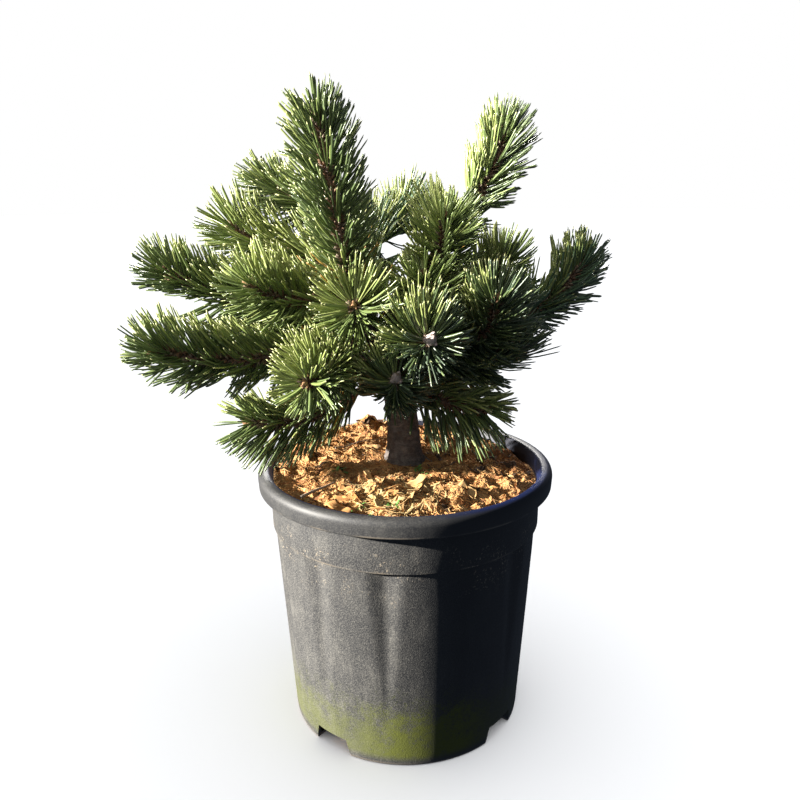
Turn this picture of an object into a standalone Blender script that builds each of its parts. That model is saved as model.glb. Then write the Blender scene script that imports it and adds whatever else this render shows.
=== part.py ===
"""A dwarf pine in its round nursery pot, built from named sizes.

Metres, +Z up. The origin is the centre of the pot's flat underside. Every limb and every
bottle-brush shoot of needles is an object of its own, 0.3 mm clear of what carries it.
"""

import math
import random
from collections import namedtuple

import bmesh
import bpy
from mathutils import Matrix, Vector

MM = 0.001
CLEAR = 0.3 * MM  # gap kept between touching pieces
SEED = 7

# ---- pot -------------------------------------------------------------------------------------
POT_HEIGHT = 264.4 * MM
RIM_RADIUS = 145.0 * MM
RIM_INNER = 133.5 * MM
RIM_DROP = 17.9 * MM  # from the top of the rolled rim to its underside
COLLAR_RADIUS = 132.7 * MM
COLLAR_DROP = 56.3 * MM  # from the top of the rim to the collar's lower edge
WALL_TOP_RADIUS = 130.4 * MM
BASE_RADIUS = 117.3 * MM
BASE_ROUND = 3.0 * MM
WALL = 2.2 * MM
FLOOR = 4.0 * MM
POT_SIDES = 60
FLUTES = 12
FLUTE_BEARING = math.radians(-98.2)  # the flute nearest the front, just left of it
FLUTE_DEPTH = 4.2 * MM
FLUTE_HALF = math.radians(7.5)  # its half width under the collar
FLUTE_FOOT_HALF = math.radians(1.6)  # and where it runs out
FLUTE_FOOT = 42.0 * MM  # height where it runs out
NOTCHES = 4
NOTCH_BEARING = FLUTE_BEARING - math.radians(30.0)
NOTCH_FOOT_WIDTH = 52.0 * MM  # at twice the notch's height below its top
NOTCH_TOP_WIDTH = 36.0 * MM
NOTCH_HEIGHT = 18.0 * MM
NOTCH_DEPTH = 18.0 * MM

# ---- compost ---------------------------------------------------------------------------------
SOIL_TOP = 260.0 * MM  # level seat under the trunk
SOIL_EDGE = 246.0 * MM  # where it meets the pot wall
SOIL_HEAP = 15.0 * MM  # how much higher it lies against the wall behind the trunk
HEAP_BEARING = math.radians(110.0)
SEAT_RADIUS = 27.0 * MM
SEAT_CENTRE = Vector((-1.0, 14.0, 0.0)) * MM
LUMP = 2.4 * MM
SOIL_SIDES = 36
SOIL_RINGS = 7

# ---- trunk and shoots ------------------------------------------------------------------------
# Axis points and radii of the trunk, in millimetres, from the cut at ground level to the fork.
TRUNK = (
    ((-1, 14, 260), 22.0),
    ((-1, 14, 266), 19.4),
    ((-1, 13, 278), 17.2),
    ((-2, 11, 300), 15.8),
    ((-5, 7, 325), 15.0),
    ((-13, -3, 358), 13.0),
    ((-26, -20, 392), 9.6),
    ((-39, -40, 420), 7.2),
    ((-46, -50, 434), 6.0),
)
TRUNK_ROUNDNESS = 6  # sixteen sides
BOUGH_ROUNDNESS = 1  # six sides
BOUGH_STEPS = 3  # straight pieces in a bough, besides those at its ends
STEM_STEPS = 4  # the same for a shoot's stem
STEM_FOOT = 3.6 * MM  # stem radius where a shoot begins
STEM_TIP = 2.2 * MM
JOINT = 3.0 * MM  # a limb runs straight for this far on each side of a joint
CORE = 7.5 * MM  # radius of the slim core that tufts of needles stand out of
BUD = 10.0 * MM
NEEDLE = 42.0 * MM
NEEDLE_ROOT = 3.5 * MM  # radius of one solid tuft of needles at its root
TUFT_SPACING = 4.6 * MM  # along the stem, from one tuft to the next, on average
TUFT_CROWDING = 0.85  # below 1, tufts stand closer towards the tip
GOLDEN_ANGLE = math.radians(137.508)
LEAN_SIDE = math.radians(56.0)  # a needle's angle off its stem along the shoot
LEAN_TIP = math.radians(20.0)  # and round the bud
SHORTER_AT_BUD = 0.25  # share by which needles are shorter there
TRIALS = 6  # tries at a place for a tuft, each turned more and a little shorter
SPACE_MARGIN = 0.6 * MM  # kept on each side of the border between two shoots
LIMB_MARGIN = 1.0 * MM
POT_MARGIN = 5.0 * MM

# Each shoot: a point that it passes where it comes out of the crown, its tip and how far it
# bows between the two, all in millimetres; then the limb that carries it, the share of that
# limb's length where it leaves, its radius there, and how far it runs bare, as a bough.
Shoot = namedtuple("Shoot", "through tip bow carrier leaves_at radius bare")
SHOOT_ROWS = {
    "leader": ((-46, -50, 434), (-71, -60, 588), (2, -14, 0), "trunk", 1.0, 6.0, 0),
    "left_high": ((-91, 72, 513), (-144, 94, 534), (0, 0, -5), "trunk", 0.86, 5.4, 48),
    "left_upper": ((-104, 38, 465), (-169, 40, 493), (0, 0, -6), "left_high", 0.70, 4.4, 30),
    "left_long": ((-136, -5, 425), (-222, -20, 458), (0, 0, -7), "trunk", 0.78, 5.4, 30),
    "left_inner": ((-80, -34, 430), (-134, -62, 449), (0, 0, -5), "trunk", 0.93, 4.4, 20),
    "left_low": ((-112, -52, 384), (-213, -90, 398), (0, 0, -8), "trunk", 0.70, 5.6, 30),
    "left_low_back": ((-92, 4, 374), (-174, 15, 384), (0, 0, -5), "trunk", 0.58, 5.0, 28),
    "left_bottom": ((-87, -20, 315), (-147, -40, 318), (0, 0, -5), "trunk", 0.50, 5.2, 36),
    "front_left": ((-58, -68, 386), (-78, -138, 380), (0, 0, -4), "trunk", 0.75, 4.6, 24),
    "front_right": ((6, -60, 404), (20, -133, 413), (0, 0, -4), "trunk", 0.62, 5.0, 26),
    "front_upper": ((-39, -60, 426), (-41, -98, 435), (0, 0, -3), "trunk", 0.88, 4.4, 22),
    "front_low": ((-11, -40, 354), (-7, -103, 374), (0, 0, -5), "trunk", 0.46, 4.8, 22),
    "centre": ((22, -18, 416), (18, -44, 454), (0, -4, 0), "right_high", 0.38, 4.2, 18),
    "right_inner": ((32, -20, 466), (36, -40, 503), (0, -4, 0), "right_high", 0.60, 4.2, 26),
    "right_high": ((63, 32, 509), (97, 46, 580), (6, 0, 0), "trunk", 0.69, 6.2, 100),
    "right_upper": ((75, 12, 430), (93, 2, 463), (4, 0, 0), "right_long", 0.74, 4.4, 22),
    "right_long": ((122, 33, 406), (179, 40, 459), (7, 0, -3), "trunk", 0.54, 5.8, 52),
    "right_front": ((68, -42, 398), (80, -72, 436), (3, -4, 0), "trunk", 0.57, 4.8, 28),
    "right_low": ((66, -12, 366), (100, -26, 387), (0, 0, -5), "trunk", 0.50, 4.8, 34),
    "right_bottom": ((32, -26, 334), (81, -38, 327), (0, 0, -3), "trunk", 0.38, 4.6, 24),
    "back_high": ((-26, 80, 475), (12, 108, 512), (0, 0, -6), "trunk", 0.82, 4.8, 38),
    "back_upper": ((-58, 88, 452), (-80, 152, 484), (0, 0, -5), "trunk", 0.74, 5.6, 40),
    "back_left": ((-82, 72, 414), (-138, 122, 428), (0, 0, -5), "trunk", 0.64, 5.0, 30),
    "back_left_low": ((-58, 62, 348), (-104, 118, 350), (0, 0, -5), "trunk", 0.45, 4.8, 26),
    "back_low": ((2, 62, 344), (6, 132, 352), (0, 0, -5), "trunk", 0.40, 4.8, 28),
    "back_middle": ((22, 80, 404), (46, 156, 424), (0, 0, -5), "trunk", 0.59, 5.2, 30),
    "back_right": ((72, 72, 398), (122, 112, 420), (0, 0, -5), "trunk", 0.465, 5.0, 40),
    "back_right_low": ((54, 56, 346), (95, 104, 350), (0, 0, -5), "trunk", 0.43, 4.8, 28),
}
SHOOTS = {name: Shoot(*row) for name, row in SHOOT_ROWS.items()}

# name: colour, roughness
FINISHES = {
    "black_plastic": ((0.030, 0.032, 0.036), 0.55),
    "coir_mulch": ((0.38, 0.19, 0.08), 0.95),
    "bark": ((0.12, 0.085, 0.065), 0.9),
    "needles": ((0.055, 0.13, 0.035), 0.5),
}


# ---- tools -----------------------------------------------------------------------------------
def clear_scene():
    for old in list(bpy.data.objects):
        bpy.data.objects.remove(old)


def new_collection(name):
    made = bpy.data.collections.new(name)
    bpy.context.scene.collection.children.link(made)
    return made


def finish(name):
    """The Principled material of that name."""
    found = bpy.data.materials.get(name)
    if found:
        return found
    colour, roughness = FINISHES[name]
    made = bpy.data.materials.new(name)
    made.use_nodes = True
    shader = made.node_tree.nodes["Principled BSDF"]
    shader.inputs["Base Color"].default_value = (*colour, 1.0)
    shader.inputs["Roughness"].default_value = roughness
    shader.inputs["Metallic"].default_value = 0.0
    made.diffuse_color = (*colour, 1.0)
    return made


def add_object(name, mesh, collection, material=None):
    made = bpy.data.objects.new(name, mesh)
    collection.objects.link(made)
    if material:
        mesh.materials.append(finish(material))
    return made


def apply_modifiers(obj):
    """Replaces an object's mesh by what its modifiers make of it."""
    graph = bpy.context.evaluated_depsgraph_get()
    graph.update()
    made = bpy.data.meshes.new_from_object(obj.evaluated_get(graph))
    obj.modifiers.clear()
    obj.data = made


def weld(mesh):
    """Joins points that lie on each other and turns every face outward."""
    bm = bmesh.new()
    bm.from_mesh(mesh)
    bmesh.ops.remove_doubles(bm, verts=bm.verts, dist=0.02 * MM)
    bmesh.ops.recalc_face_normals(bm, faces=bm.faces)
    bm.to_mesh(mesh)
    bm.free()


def boolean(obj, other, operation):
    """Joins or cuts obj by an object or by all objects of a collection, and applies it."""
    modifier = obj.modifiers.new(operation.lower(), "BOOLEAN")
    modifier.operation = operation
    modifier.solver = "MANIFOLD"
    if isinstance(other, bpy.types.Collection):
        modifier.operand_type = "COLLECTION"
        modifier.collection = other
    else:
        modifier.object = other
    apply_modifiers(obj)


def tube(name, points, radii, collection, roundness, material=None):
    """A round limb along points, closed by flat ends, as a mesh."""
    curve = bpy.data.curves.new(name, "CURVE")
    curve.dimensions = "3D"
    curve.bevel_depth = 1.0
    curve.bevel_resolution = roundness
    curve.use_fill_caps = True
    spline = curve.splines.new("POLY")
    spline.points.add(len(points) - 1)
    for knot, place, radius in zip(spline.points, points, radii):
        knot.co = (*place, 1.0)
        knot.radius = radius
    guide = add_object(name + "_guide", curve, collection)
    bpy.context.view_layer.update()
    mesh = bpy.data.meshes.new_from_object(
        guide.evaluated_get(bpy.context.evaluated_depsgraph_get())
    )
    bpy.data.objects.remove(guide)
    weld(mesh)
    mesh.materials.clear()
    return add_object(name, mesh, collection, material)


def smooth(obj, degrees=40.0):
    obj.data.shade_smooth()
    obj.data.set_sharp_from_angle(angle=math.radians(degrees))


# ---- pot and compost -------------------------------------------------------------------------
def wall_radius(height):
    """Outer radius of the pot's plain wall at a height."""
    share = height / (POT_HEIGHT - COLLAR_DROP)
    return BASE_RADIUS + (WALL_TOP_RADIUS - BASE_RADIUS) * share


def flute_share(height):
    """0 where a flute runs out near the base, 1 under the collar."""
    share = (height - FLUTE_FOOT) / (POT_HEIGHT - COLLAR_DROP - FLUTE_FOOT)
    return min(max(share, 0.0), 1.0)


def turned(name, section, collection, material, sides):
    """Turns a section of (radius, height, fluted) points about the pot's axis, then presses
    the flutes into the rings that are fluted. The section runs from top to bottom outside."""
    mesh = bpy.data.meshes.new(name)
    bm = bmesh.new()
    ring = [bm.verts.new((radius, 0.0, height)) for radius, height, _ in section]
    for above, below in zip(ring, ring[1:]):
        bm.edges.new((above, below))
    bm.to_mesh(mesh)
    bm.free()
    obj = add_object(name, mesh, collection, material)
    screw = obj.modifiers.new("turn", "SCREW")
    screw.steps = screw.render_steps = sides
    screw.use_merge_vertices = True
    screw.merge_threshold = 0.05 * MM
    apply_modifiers(obj)
    weld(obj.data)
    obj.data.transform(Matrix.Rotation(FLUTE_BEARING, 4, "Z"))
    press_flutes(obj.data, {round(z / MM, 3) for _, z, fluted in section if fluted})
    return obj


def press_flutes(mesh, fluted_heights):
    """Presses a groove in at each flute: its bottom runs down one column of points, and the
    columns beside that one are its edges."""
    period = 2.0 * math.pi / FLUTES
    column = 2.0 * math.pi / POT_SIDES
    for vertex in mesh.vertices:
        x, y, z = vertex.co
        radius = math.hypot(x, y)
        bearing = math.atan2(y, x) - FLUTE_BEARING
        centre = round(bearing / period) * period
        off = round((bearing - centre) / column)
        if round(z / MM, 3) not in fluted_heights or abs(off) > 1:
            continue
        share = flute_share(z)
        if off == 0:
            radius -= FLUTE_DEPTH * share
        half = FLUTE_FOOT_HALF + (FLUTE_HALF - FLUTE_FOOT_HALF) * share
        bearing = FLUTE_BEARING + centre + off * half
        vertex.co = (radius * math.cos(bearing), radius * math.sin(bearing), z)


def notch_cutters(collection, grow):
    """One wedge across the foot of the wall for each drain notch, narrower at its top."""
    made = []
    for index in range(NOTCHES):
        bearing = NOTCH_BEARING + index * 2.0 * math.pi / NOTCHES
        bm = bmesh.new()
        bmesh.ops.create_cube(bm, size=2.0)
        for vertex in bm.verts:
            half = 0.5 * (NOTCH_TOP_WIDTH if vertex.co.z > 0.0 else NOTCH_FOOT_WIDTH) + grow
            vertex.co.x = BASE_RADIUS + vertex.co.x * (NOTCH_DEPTH + grow)
            vertex.co.y *= half
            vertex.co.z = NOTCH_HEIGHT + grow if vertex.co.z > 0.0 else -NOTCH_DEPTH
        bmesh.ops.rotate(bm, matrix=Matrix.Rotation(bearing, 3, "Z"), verts=bm.verts)
        mesh = bpy.data.meshes.new(f"notch_{index}")
        bm.to_mesh(mesh)
        bm.free()
        made.append(add_object(f"notch_{index}", mesh, collection))
    return made


def cut_notches(obj, grow):
    cutters = new_collection(obj.name + "_cutters")
    made = notch_cutters(cutters, grow)
    boolean(obj, cutters, "DIFFERENCE")
    for cutter in made:
        bpy.data.objects.remove(cutter)
    bpy.data.collections.remove(cutters)


def make_pot(collection):
    under_rim = POT_HEIGHT - RIM_DROP
    under_collar = POT_HEIGHT - COLLAR_DROP
    middle = 0.5 * (under_collar + FLUTE_FOOT)
    inner_collar = COLLAR_RADIUS - WALL
    section = [
        (RIM_INNER, POT_HEIGHT - 2.0 * MM, False),
        (RIM_INNER + 2.2 * MM, POT_HEIGHT, False),
        (RIM_RADIUS - 5.0 * MM, POT_HEIGHT - 0.6 * MM, False),
        (RIM_RADIUS - 1.4 * MM, POT_HEIGHT - 4.0 * MM, False),
        (RIM_RADIUS, POT_HEIGHT - 9.0 * MM, False),
        (RIM_RADIUS - 0.6 * MM, under_rim, False),
        (COLLAR_RADIUS + 0.5 * MM, under_rim, False),
        (COLLAR_RADIUS, under_collar, False),
        (WALL_TOP_RADIUS, under_collar + 0.2 * MM, True),
        (wall_radius(middle), middle, True),
        (wall_radius(FLUTE_FOOT), FLUTE_FOOT, True),
        (BASE_RADIUS + 0.2 * MM, BASE_ROUND, False),
        (BASE_RADIUS - BASE_ROUND, 0.0, False),
        (0.0, 0.0, False),
    ]
    inside = [
        (0.0, FLOOR, False),
        (BASE_RADIUS - WALL, FLOOR, False),
        (wall_radius(FLUTE_FOOT) - WALL, FLUTE_FOOT, True),
        (WALL_TOP_RADIUS - WALL, under_collar + 0.2 * MM, True),
        (inner_collar, under_collar + 3.0 * MM, False),
        (RIM_INNER, POT_HEIGHT - 2.0 * MM, False),
    ]
    pot = turned("pot", section + inside, collection, "black_plastic", POT_SIDES)
    cut_notches(pot, 0.0)
    smooth(pot)
    return pot


def soil_height(x, y, lump):
    """The mulch's level: lower at the wall than round the trunk, and heaped at the back."""
    share = min(math.hypot(x, y) / COLLAR_RADIUS, 1.0)
    level = SOIL_TOP + (SOIL_EDGE - SOIL_TOP) * share**3
    backward = x * math.cos(HEAP_BEARING) + y * math.sin(HEAP_BEARING)
    return level + SOIL_HEAP * max(backward / COLLAR_RADIUS, 0.0) + lump


def make_compost(collection):
    """The compost that fills the pot, clear of the flutes, with a lumpy mulch on top."""
    rng = random.Random(SEED)
    under_collar = POT_HEIGHT - COLLAR_DROP
    inset = WALL + CLEAR + 0.2 * MM
    edge = COLLAR_RADIUS - inset
    section = [(0.0, SOIL_TOP, False), (SEAT_RADIUS, SOIL_TOP, False)]
    section += [
        (SEAT_RADIUS + (edge - SEAT_RADIUS) * ring / SOIL_RINGS, SOIL_TOP, False)
        for ring in range(1, SOIL_RINGS)
    ]
    section += [
        (edge, SOIL_EDGE, False),
        (edge - 0.6 * MM, under_collar + 6.5 * MM, False),
        (WALL_TOP_RADIUS - inset - FLUTE_DEPTH, under_collar + 1.0 * MM, False),
        (BASE_RADIUS - inset, FLOOR + CLEAR, False),
        (0.0, FLOOR + CLEAR, False),
    ]
    compost = turned("compost", section, collection, "coir_mulch", SOIL_SIDES)
    for vertex in compost.data.vertices:
        x, y, z = vertex.co
        if z < SOIL_EDGE - 0.5 * MM:
            continue
        if math.hypot(x, y) < SEAT_RADIUS * 1.02:
            vertex.co += SEAT_CENTRE
        elif z > SOIL_EDGE + 0.5 * MM:
            vertex.co.z = soil_height(x, y, rng.uniform(-LUMP, LUMP))
        else:
            vertex.co.z = soil_height(x, y, 0.0)
    cut_notches(compost, CLEAR)
    smooth(compost, 30.0)
    return compost


# ---- limbs -----------------------------------------------------------------------------------
def bezier(knots, share):
    """A point on the Bezier curve of three or four knots."""
    while len(knots) > 1:
        knots = [a.lerp(b, share) for a, b in zip(knots, knots[1:])]
    return knots[0]


class Limb:
    """An axis line with radii, and a solid made round it."""

    def __init__(self, name, points, radii):
        self.name = name
        self.points = points
        self.radii = radii

    def length(self):
        return sum((b - a).length for a, b in zip(self.points, self.points[1:]))

    def at(self, share):
        """Axis point and radius at a share of the limb's length."""
        lengths = [(b - a).length for a, b in zip(self.points, self.points[1:])]
        left = share * sum(lengths)
        for index, length in enumerate(lengths):
            if left <= length or index == len(lengths) - 1:
                part = min(max(left / length, 0.0), 1.0)
                place = self.points[index].lerp(self.points[index + 1], part)
                radius = self.radii[index] * (1 - part) + self.radii[index + 1] * part
                return place, radius
            left -= length

    def gap(self, place):
        """Distance from a place to the limb's surface."""
        best = math.inf
        pairs = zip(self.points, self.points[1:], self.radii, self.radii[1:])
        for a, b, radius_a, radius_b in pairs:
            along = b - a
            part = min(max((place - a).dot(along) / along.length_squared, 0.0), 1.0)
            radius = radius_a * (1 - part) + radius_b * part
            best = min(best, (place - a - along * part).length - radius)
        return best

    def end_direction(self):
        return (self.points[-1] - self.points[-2]).normalized()

    def solid(self, collection, roundness, material, grow=0.0):
        radii = [radius + grow for radius in self.radii]
        return tube(self.name, self.points, radii, collection, roundness, material)


def taper(foot, tip, count):
    """Evenly spaced radii from foot to tip."""
    return [foot + (tip - foot) * index / (count - 1) for index in range(count)]


def trunk_limb():
    points = [Vector(place) * MM for place, _ in TRUNK]
    points[0].z += CLEAR
    return Limb("trunk", points, [radius * MM for _, radius in TRUNK])


def shoot_path(name, parent):
    """A shoot's whole axis, from the axis of its parent to its tip, as a fine line."""
    shoot = SHOOTS[name]
    through, tip, bow = (Vector(v) * MM for v in (shoot.through, shoot.tip, shoot.bow))
    start, _ = parent.at(shoot.leaves_at)
    middle = (through + tip) / 2 + bow * 2
    heading = (middle - through).normalized()
    outer = [through, middle, tip]
    line = [bezier(outer, step / 12) for step in range(13)]
    reach = (through - start).length
    if reach > JOINT:
        outward = ((through - start).normalized() * 0.8 + Vector((0, 0, 0.12))).normalized()
        near = start + outward * reach * 0.35
        inner = [start, near, through - heading * reach * 0.33, through]
        line = [bezier(inner, step / 12) for step in range(12)] + line
    return line


def stretch(line, begin, end, steps):
    """Points evenly along a line, between two lengths from its start."""
    whole = Limb("", line, [0.0] * len(line))
    total = whole.length()
    return [
        whole.at((begin + (end - begin) * step / steps) / total)[0]
        for step in range(steps + 1)
    ]


def split_shoot(name, parent):
    """The bare bough of a shoot, and its stem among needles, 0.3 mm clear of each other."""
    line = shoot_path(name, parent)
    total = Limb("", line, [0.0] * len(line)).length()
    bare = SHOOTS[name].bare * MM
    if bare:
        cut, ahead = stretch(line, bare, bare + JOINT, 1)
        heading = (ahead - cut).normalized()
    else:
        cut = line[0]
        heading = parent.end_direction()
    points = [cut + heading * CLEAR, cut + heading * JOINT]
    points += stretch(line, bare + 3 * JOINT, total, STEM_STEPS)
    stem = Limb("foliage_" + name, points, taper(STEM_FOOT, STEM_TIP, len(points)))
    if not bare:
        return None, stem
    points = stretch(line, 0.0, bare - 2 * JOINT, BOUGH_STEPS)
    points += [cut - heading * JOINT, cut]
    radii = taper(SHOOTS[name].radius * MM, STEM_FOOT, len(points))
    return Limb("bough_" + name, points, radii), stem


def grow_limbs():
    """Every limb's axis: the trunk, the boughs in the order they fork, and the stems."""
    trunk = trunk_limb()
    boughs = {}
    stems = {}
    waiting = list(SHOOTS)
    while waiting:
        name = waiting.pop(0)
        carrier = SHOOTS[name].carrier
        parent = trunk if carrier == "trunk" else boughs.get(carrier)
        if not parent:
            waiting.append(name)
            continue
        bough, stems[name] = split_shoot(name, parent)
        if bough:
            boughs[name] = bough
    return trunk, boughs, stems


def make_limbs(trunk, boughs, collection):
    smooth(trunk.solid(collection, TRUNK_ROUNDNESS, "bark"))
    for name, bough in boughs.items():
        parent = boughs.get(SHOOTS[name].carrier, trunk)
        roundness = TRUNK_ROUNDNESS if parent is trunk else BOUGH_ROUNDNESS
        solid = bough.solid(collection, BOUGH_ROUNDNESS, "bark")
        cutter = parent.solid(collection, roundness, None, grow=CLEAR)
        boolean(solid, cutter, "DIFFERENCE")
        bpy.data.objects.remove(cutter)
        keep_largest(solid)
        smooth(solid)


def keep_largest(obj):
    """Drops what a cut leaves on the far side of the parent limb."""
    bm = bmesh.new()
    bm.from_mesh(obj.data)
    islands = []
    left = set(bm.verts)
    while left:
        grown = {left.pop()}
        edge = set(grown)
        while edge:
            edge = {e.other_vert(v) for v in edge for e in v.link_edges} & left
            left -= edge
            grown |= edge
        islands.append(grown)
    islands.sort(key=len)
    stray = [vertex for island in islands[:-1] for vertex in island]
    bmesh.ops.delete(bm, geom=stray, context="VERTS")
    bm.to_mesh(obj.data)
    bm.free()


# ---- shoots of needles -----------------------------------------------------------------------
def pot_is_near(place):
    radius = math.hypot(place.x, place.y)
    over_rim = radius < RIM_RADIUS + POT_MARGIN and place.z < POT_HEIGHT + POT_MARGIN
    over_soil = radius < RIM_INNER and place.z < POT_HEIGHT + 1.5 * POT_MARGIN
    return over_rim or over_soil


def keeps_its_space(name, root, end, stems, limbs):
    """True if a tuft from root to end stays in its own shoot's space and clear of limbs."""
    for share in (0.3, 0.45, 0.65, 0.85, 1.0):
        place = root.lerp(end, share)
        thickness = NEEDLE_ROOT * (1.1 - share)
        if pot_is_near(place):
            return False
        if min(limb.gap(place) for limb in limbs) < LIMB_MARGIN + thickness:
            return False
        own = stems[name].gap(place)
        rival = min(stem.gap(place) for other, stem in stems.items() if other != name)
        if rival < own + 2.0 * (SPACE_MARGIN + thickness):
            return False
    return True


def frame_at(stem, share):
    """A point of the stem's axis, the stem's direction there and two square to it."""
    ahead, _ = stem.at(min(share + 0.05, 1.0))
    behind, _ = stem.at(max(share - 0.05, 0.0))
    along = (ahead - behind).normalized()
    side = along.cross(Vector((0, 0, 1)))
    if side.length < 0.1:
        side = along.cross(Vector((0, 1, 0)))
    side.normalize()
    return stem.at(share)[0], along, side, side.cross(along)


def tufts_of(name, stems, limbs, rng):
    """Root and end of each tuft of needles that the shoot keeps."""
    stem = stems[name]
    count = int(stem.length() / TUFT_SPACING)
    kept = []
    for index in range(count):
        share = ((index + 0.5) / count) ** TUFT_CROWDING
        place, along, side, up = frame_at(stem, share)
        near_bud = share**6
        lean = LEAN_SIDE + (LEAN_TIP - LEAN_SIDE) * near_bud
        reach = NEEDLE * (1.0 - SHORTER_AT_BUD * near_bud)
        for trial in range(TRIALS):
            turn = index * GOLDEN_ANGLE + rng.uniform(-1.0, 1.0) * (0.2 + 0.5 * trial)
            outward = side * math.cos(turn) + up * math.sin(turn)
            slant = lean + rng.uniform(-0.12, 0.12)
            heading = along * math.cos(slant) + outward * math.sin(slant)
            end = place + heading * reach * (rng.uniform(0.92, 1.05) - 0.08 * trial)
            if keeps_its_space(name, place, end, stems, limbs):
                kept.append((place, end))
                break
    return kept


def spike(name, root, end, radius, collection):
    """A three-sided spike that stands for one tuft of needles."""
    bm = bmesh.new()
    length = (end - root).length
    bmesh.ops.create_cone(
        bm, cap_ends=True, segments=3, radius1=radius, radius2=0.0, depth=length
    )
    turn = (end - root).to_track_quat("Z", "Y").to_matrix().to_4x4()
    place = Matrix.Translation((root + end) / 2) @ turn
    bmesh.ops.transform(bm, matrix=place, verts=bm.verts)
    mesh = bpy.data.meshes.new(name)
    bm.to_mesh(mesh)
    bm.free()
    return add_object(name, mesh, collection)


def core_of(stem):
    """The slim core round a stem: narrow where it meets the bough, swollen, then the bud."""
    tip = stem.points[-1]
    ahead = stem.end_direction()
    points = stem.points + [tip + ahead * BUD * 0.5, tip + ahead * BUD]
    radii = [STEM_FOOT, STEM_FOOT]
    radii += taper(CORE, CORE * 0.6, STEM_STEPS + 1)
    radii += [STEM_TIP * 1.4, STEM_TIP * 0.4]
    return Limb(stem.name, points, radii)


def make_shoot(name, stems, limbs, collection, rng):
    """One shoot: a core, the bud at its tip and its tufts of needles, fused into one body."""
    shoot = core_of(stems[name]).solid(collection, BOUGH_ROUNDNESS, "needles")
    parts = new_collection("tufts_" + name)
    made = [
        spike(f"tuft_{name}_{index}", root, end, NEEDLE_ROOT, parts)
        for index, (root, end) in enumerate(tufts_of(name, stems, limbs, rng))
    ]
    boolean(shoot, parts, "UNION")
    for tuft in made:
        bpy.data.objects.remove(tuft)
    bpy.data.collections.remove(parts)


def main():
    clear_scene()
    collection = new_collection("potted_pine")
    make_pot(collection)
    make_compost(collection)
    trunk, boughs, stems = grow_limbs()
    make_limbs(trunk, boughs, collection)
    limbs = [trunk, *boughs.values()]
    rng = random.Random(SEED)
    for name in SHOOTS:
        make_shoot(name, stems, limbs, collection, rng)


main()
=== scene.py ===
"""The looks of a dwarf pine in its round nursery pot, laid out as a Blender add-on.

Metres, +Z up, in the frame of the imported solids. The limbs, shoots and needles grow here by
the same rule as the solids, from the same sizes, and are carried on to single needles.
"""

from collections import namedtuple
from functools import reduce
from itertools import chain
from math import cos, pi, radians, sin, tan

import bpy
import numpy as np
from bpy.props import FloatProperty, FloatVectorProperty, IntProperty, PointerProperty
from bpy.types import Operator, Panel, PropertyGroup
from mathutils import Euler, Matrix, Vector, noise


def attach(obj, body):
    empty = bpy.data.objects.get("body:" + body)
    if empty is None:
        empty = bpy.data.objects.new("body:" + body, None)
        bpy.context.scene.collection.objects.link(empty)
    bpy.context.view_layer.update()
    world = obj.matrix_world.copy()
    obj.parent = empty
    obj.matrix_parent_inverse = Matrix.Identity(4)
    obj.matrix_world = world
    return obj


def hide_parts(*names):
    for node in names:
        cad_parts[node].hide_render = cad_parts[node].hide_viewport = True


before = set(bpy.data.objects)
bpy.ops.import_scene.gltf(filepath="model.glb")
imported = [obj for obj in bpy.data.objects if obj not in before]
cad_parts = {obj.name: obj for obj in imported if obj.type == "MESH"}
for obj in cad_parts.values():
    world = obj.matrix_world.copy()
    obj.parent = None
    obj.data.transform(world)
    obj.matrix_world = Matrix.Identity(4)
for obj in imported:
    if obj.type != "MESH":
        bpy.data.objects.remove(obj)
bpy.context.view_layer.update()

bl_info = {
    "name": "Potted Pine",
    "version": (1, 0, 0),
    "blender": (4, 5, 0),
    "location": "View3D > Sidebar > Potted Pine",
    "description": "Builds a dwarf pine with single needles in a round nursery pot",
    "category": "Add Mesh",
}

MM = 0.001
SEED = 7

# ---- pot, as in the solids -------------------------------------------------------------------
POT_HEIGHT = 264.4 * MM
RIM_RADIUS = 145.0 * MM
RIM_INNER = 133.5 * MM
UNDER_RIM = POT_HEIGHT - 17.9 * MM  # underside of the rolled rim
UNDER_COLLAR = POT_HEIGHT - 56.3 * MM  # the collar's lower edge
COLLAR_RADIUS = 132.7 * MM
WALL_TOP_RADIUS = 130.4 * MM
BASE_RADIUS = 117.3 * MM
FLOOR = 4.0 * MM
FLUTES = 12
FLUTE_BEARING = radians(-98.2)
FLUTE_HALF = radians(7.5)  # a flute's half width under the collar
FLUTE_FOOT_HALF = radians(1.6)  # and where it runs out
FLUTE_FOOT = 42.0 * MM
FLUTE_SOFT = 0.09  # how rounded the bottom of its V is
NOTCHES = 4
NOTCH_BEARING = FLUTE_BEARING - radians(30.0)
NOTCH_FOOT_WIDTH = 52.0 * MM
NOTCH_TOP_WIDTH = 36.0 * MM
NOTCH_HEIGHT = 18.0 * MM
NOTCH_DEPTH = 18.0 * MM
# rounds of the section: the foot, the collar's edge, under the rim, over it and inside it
BASE_ROUND = 3.0 * MM
COLLAR_ROUND = 0.9 * MM
LIP_ROUND = 1.6 * MM
CROWN_WIDTH = 6.0 * MM
CROWN_HEIGHT = 7.0 * MM
INNER_ROUND = 2.6 * MM
POT_SIDES = 216  # eighteen to a flute
WALL_RINGS = 22

# ---- compost, as in the solids ---------------------------------------------------------------
SOIL_TOP = 260.0 * MM
SOIL_EDGE = 246.0 * MM
SOIL_HEAP = 15.0 * MM
HEAP_BEARING = radians(110.0)
SEAT_CENTRE = Vector((-1.0, 14.0, 0.0)) * MM
SEAT_RADIUS = 27.0 * MM  # of the flat round the trunk's foot

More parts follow.
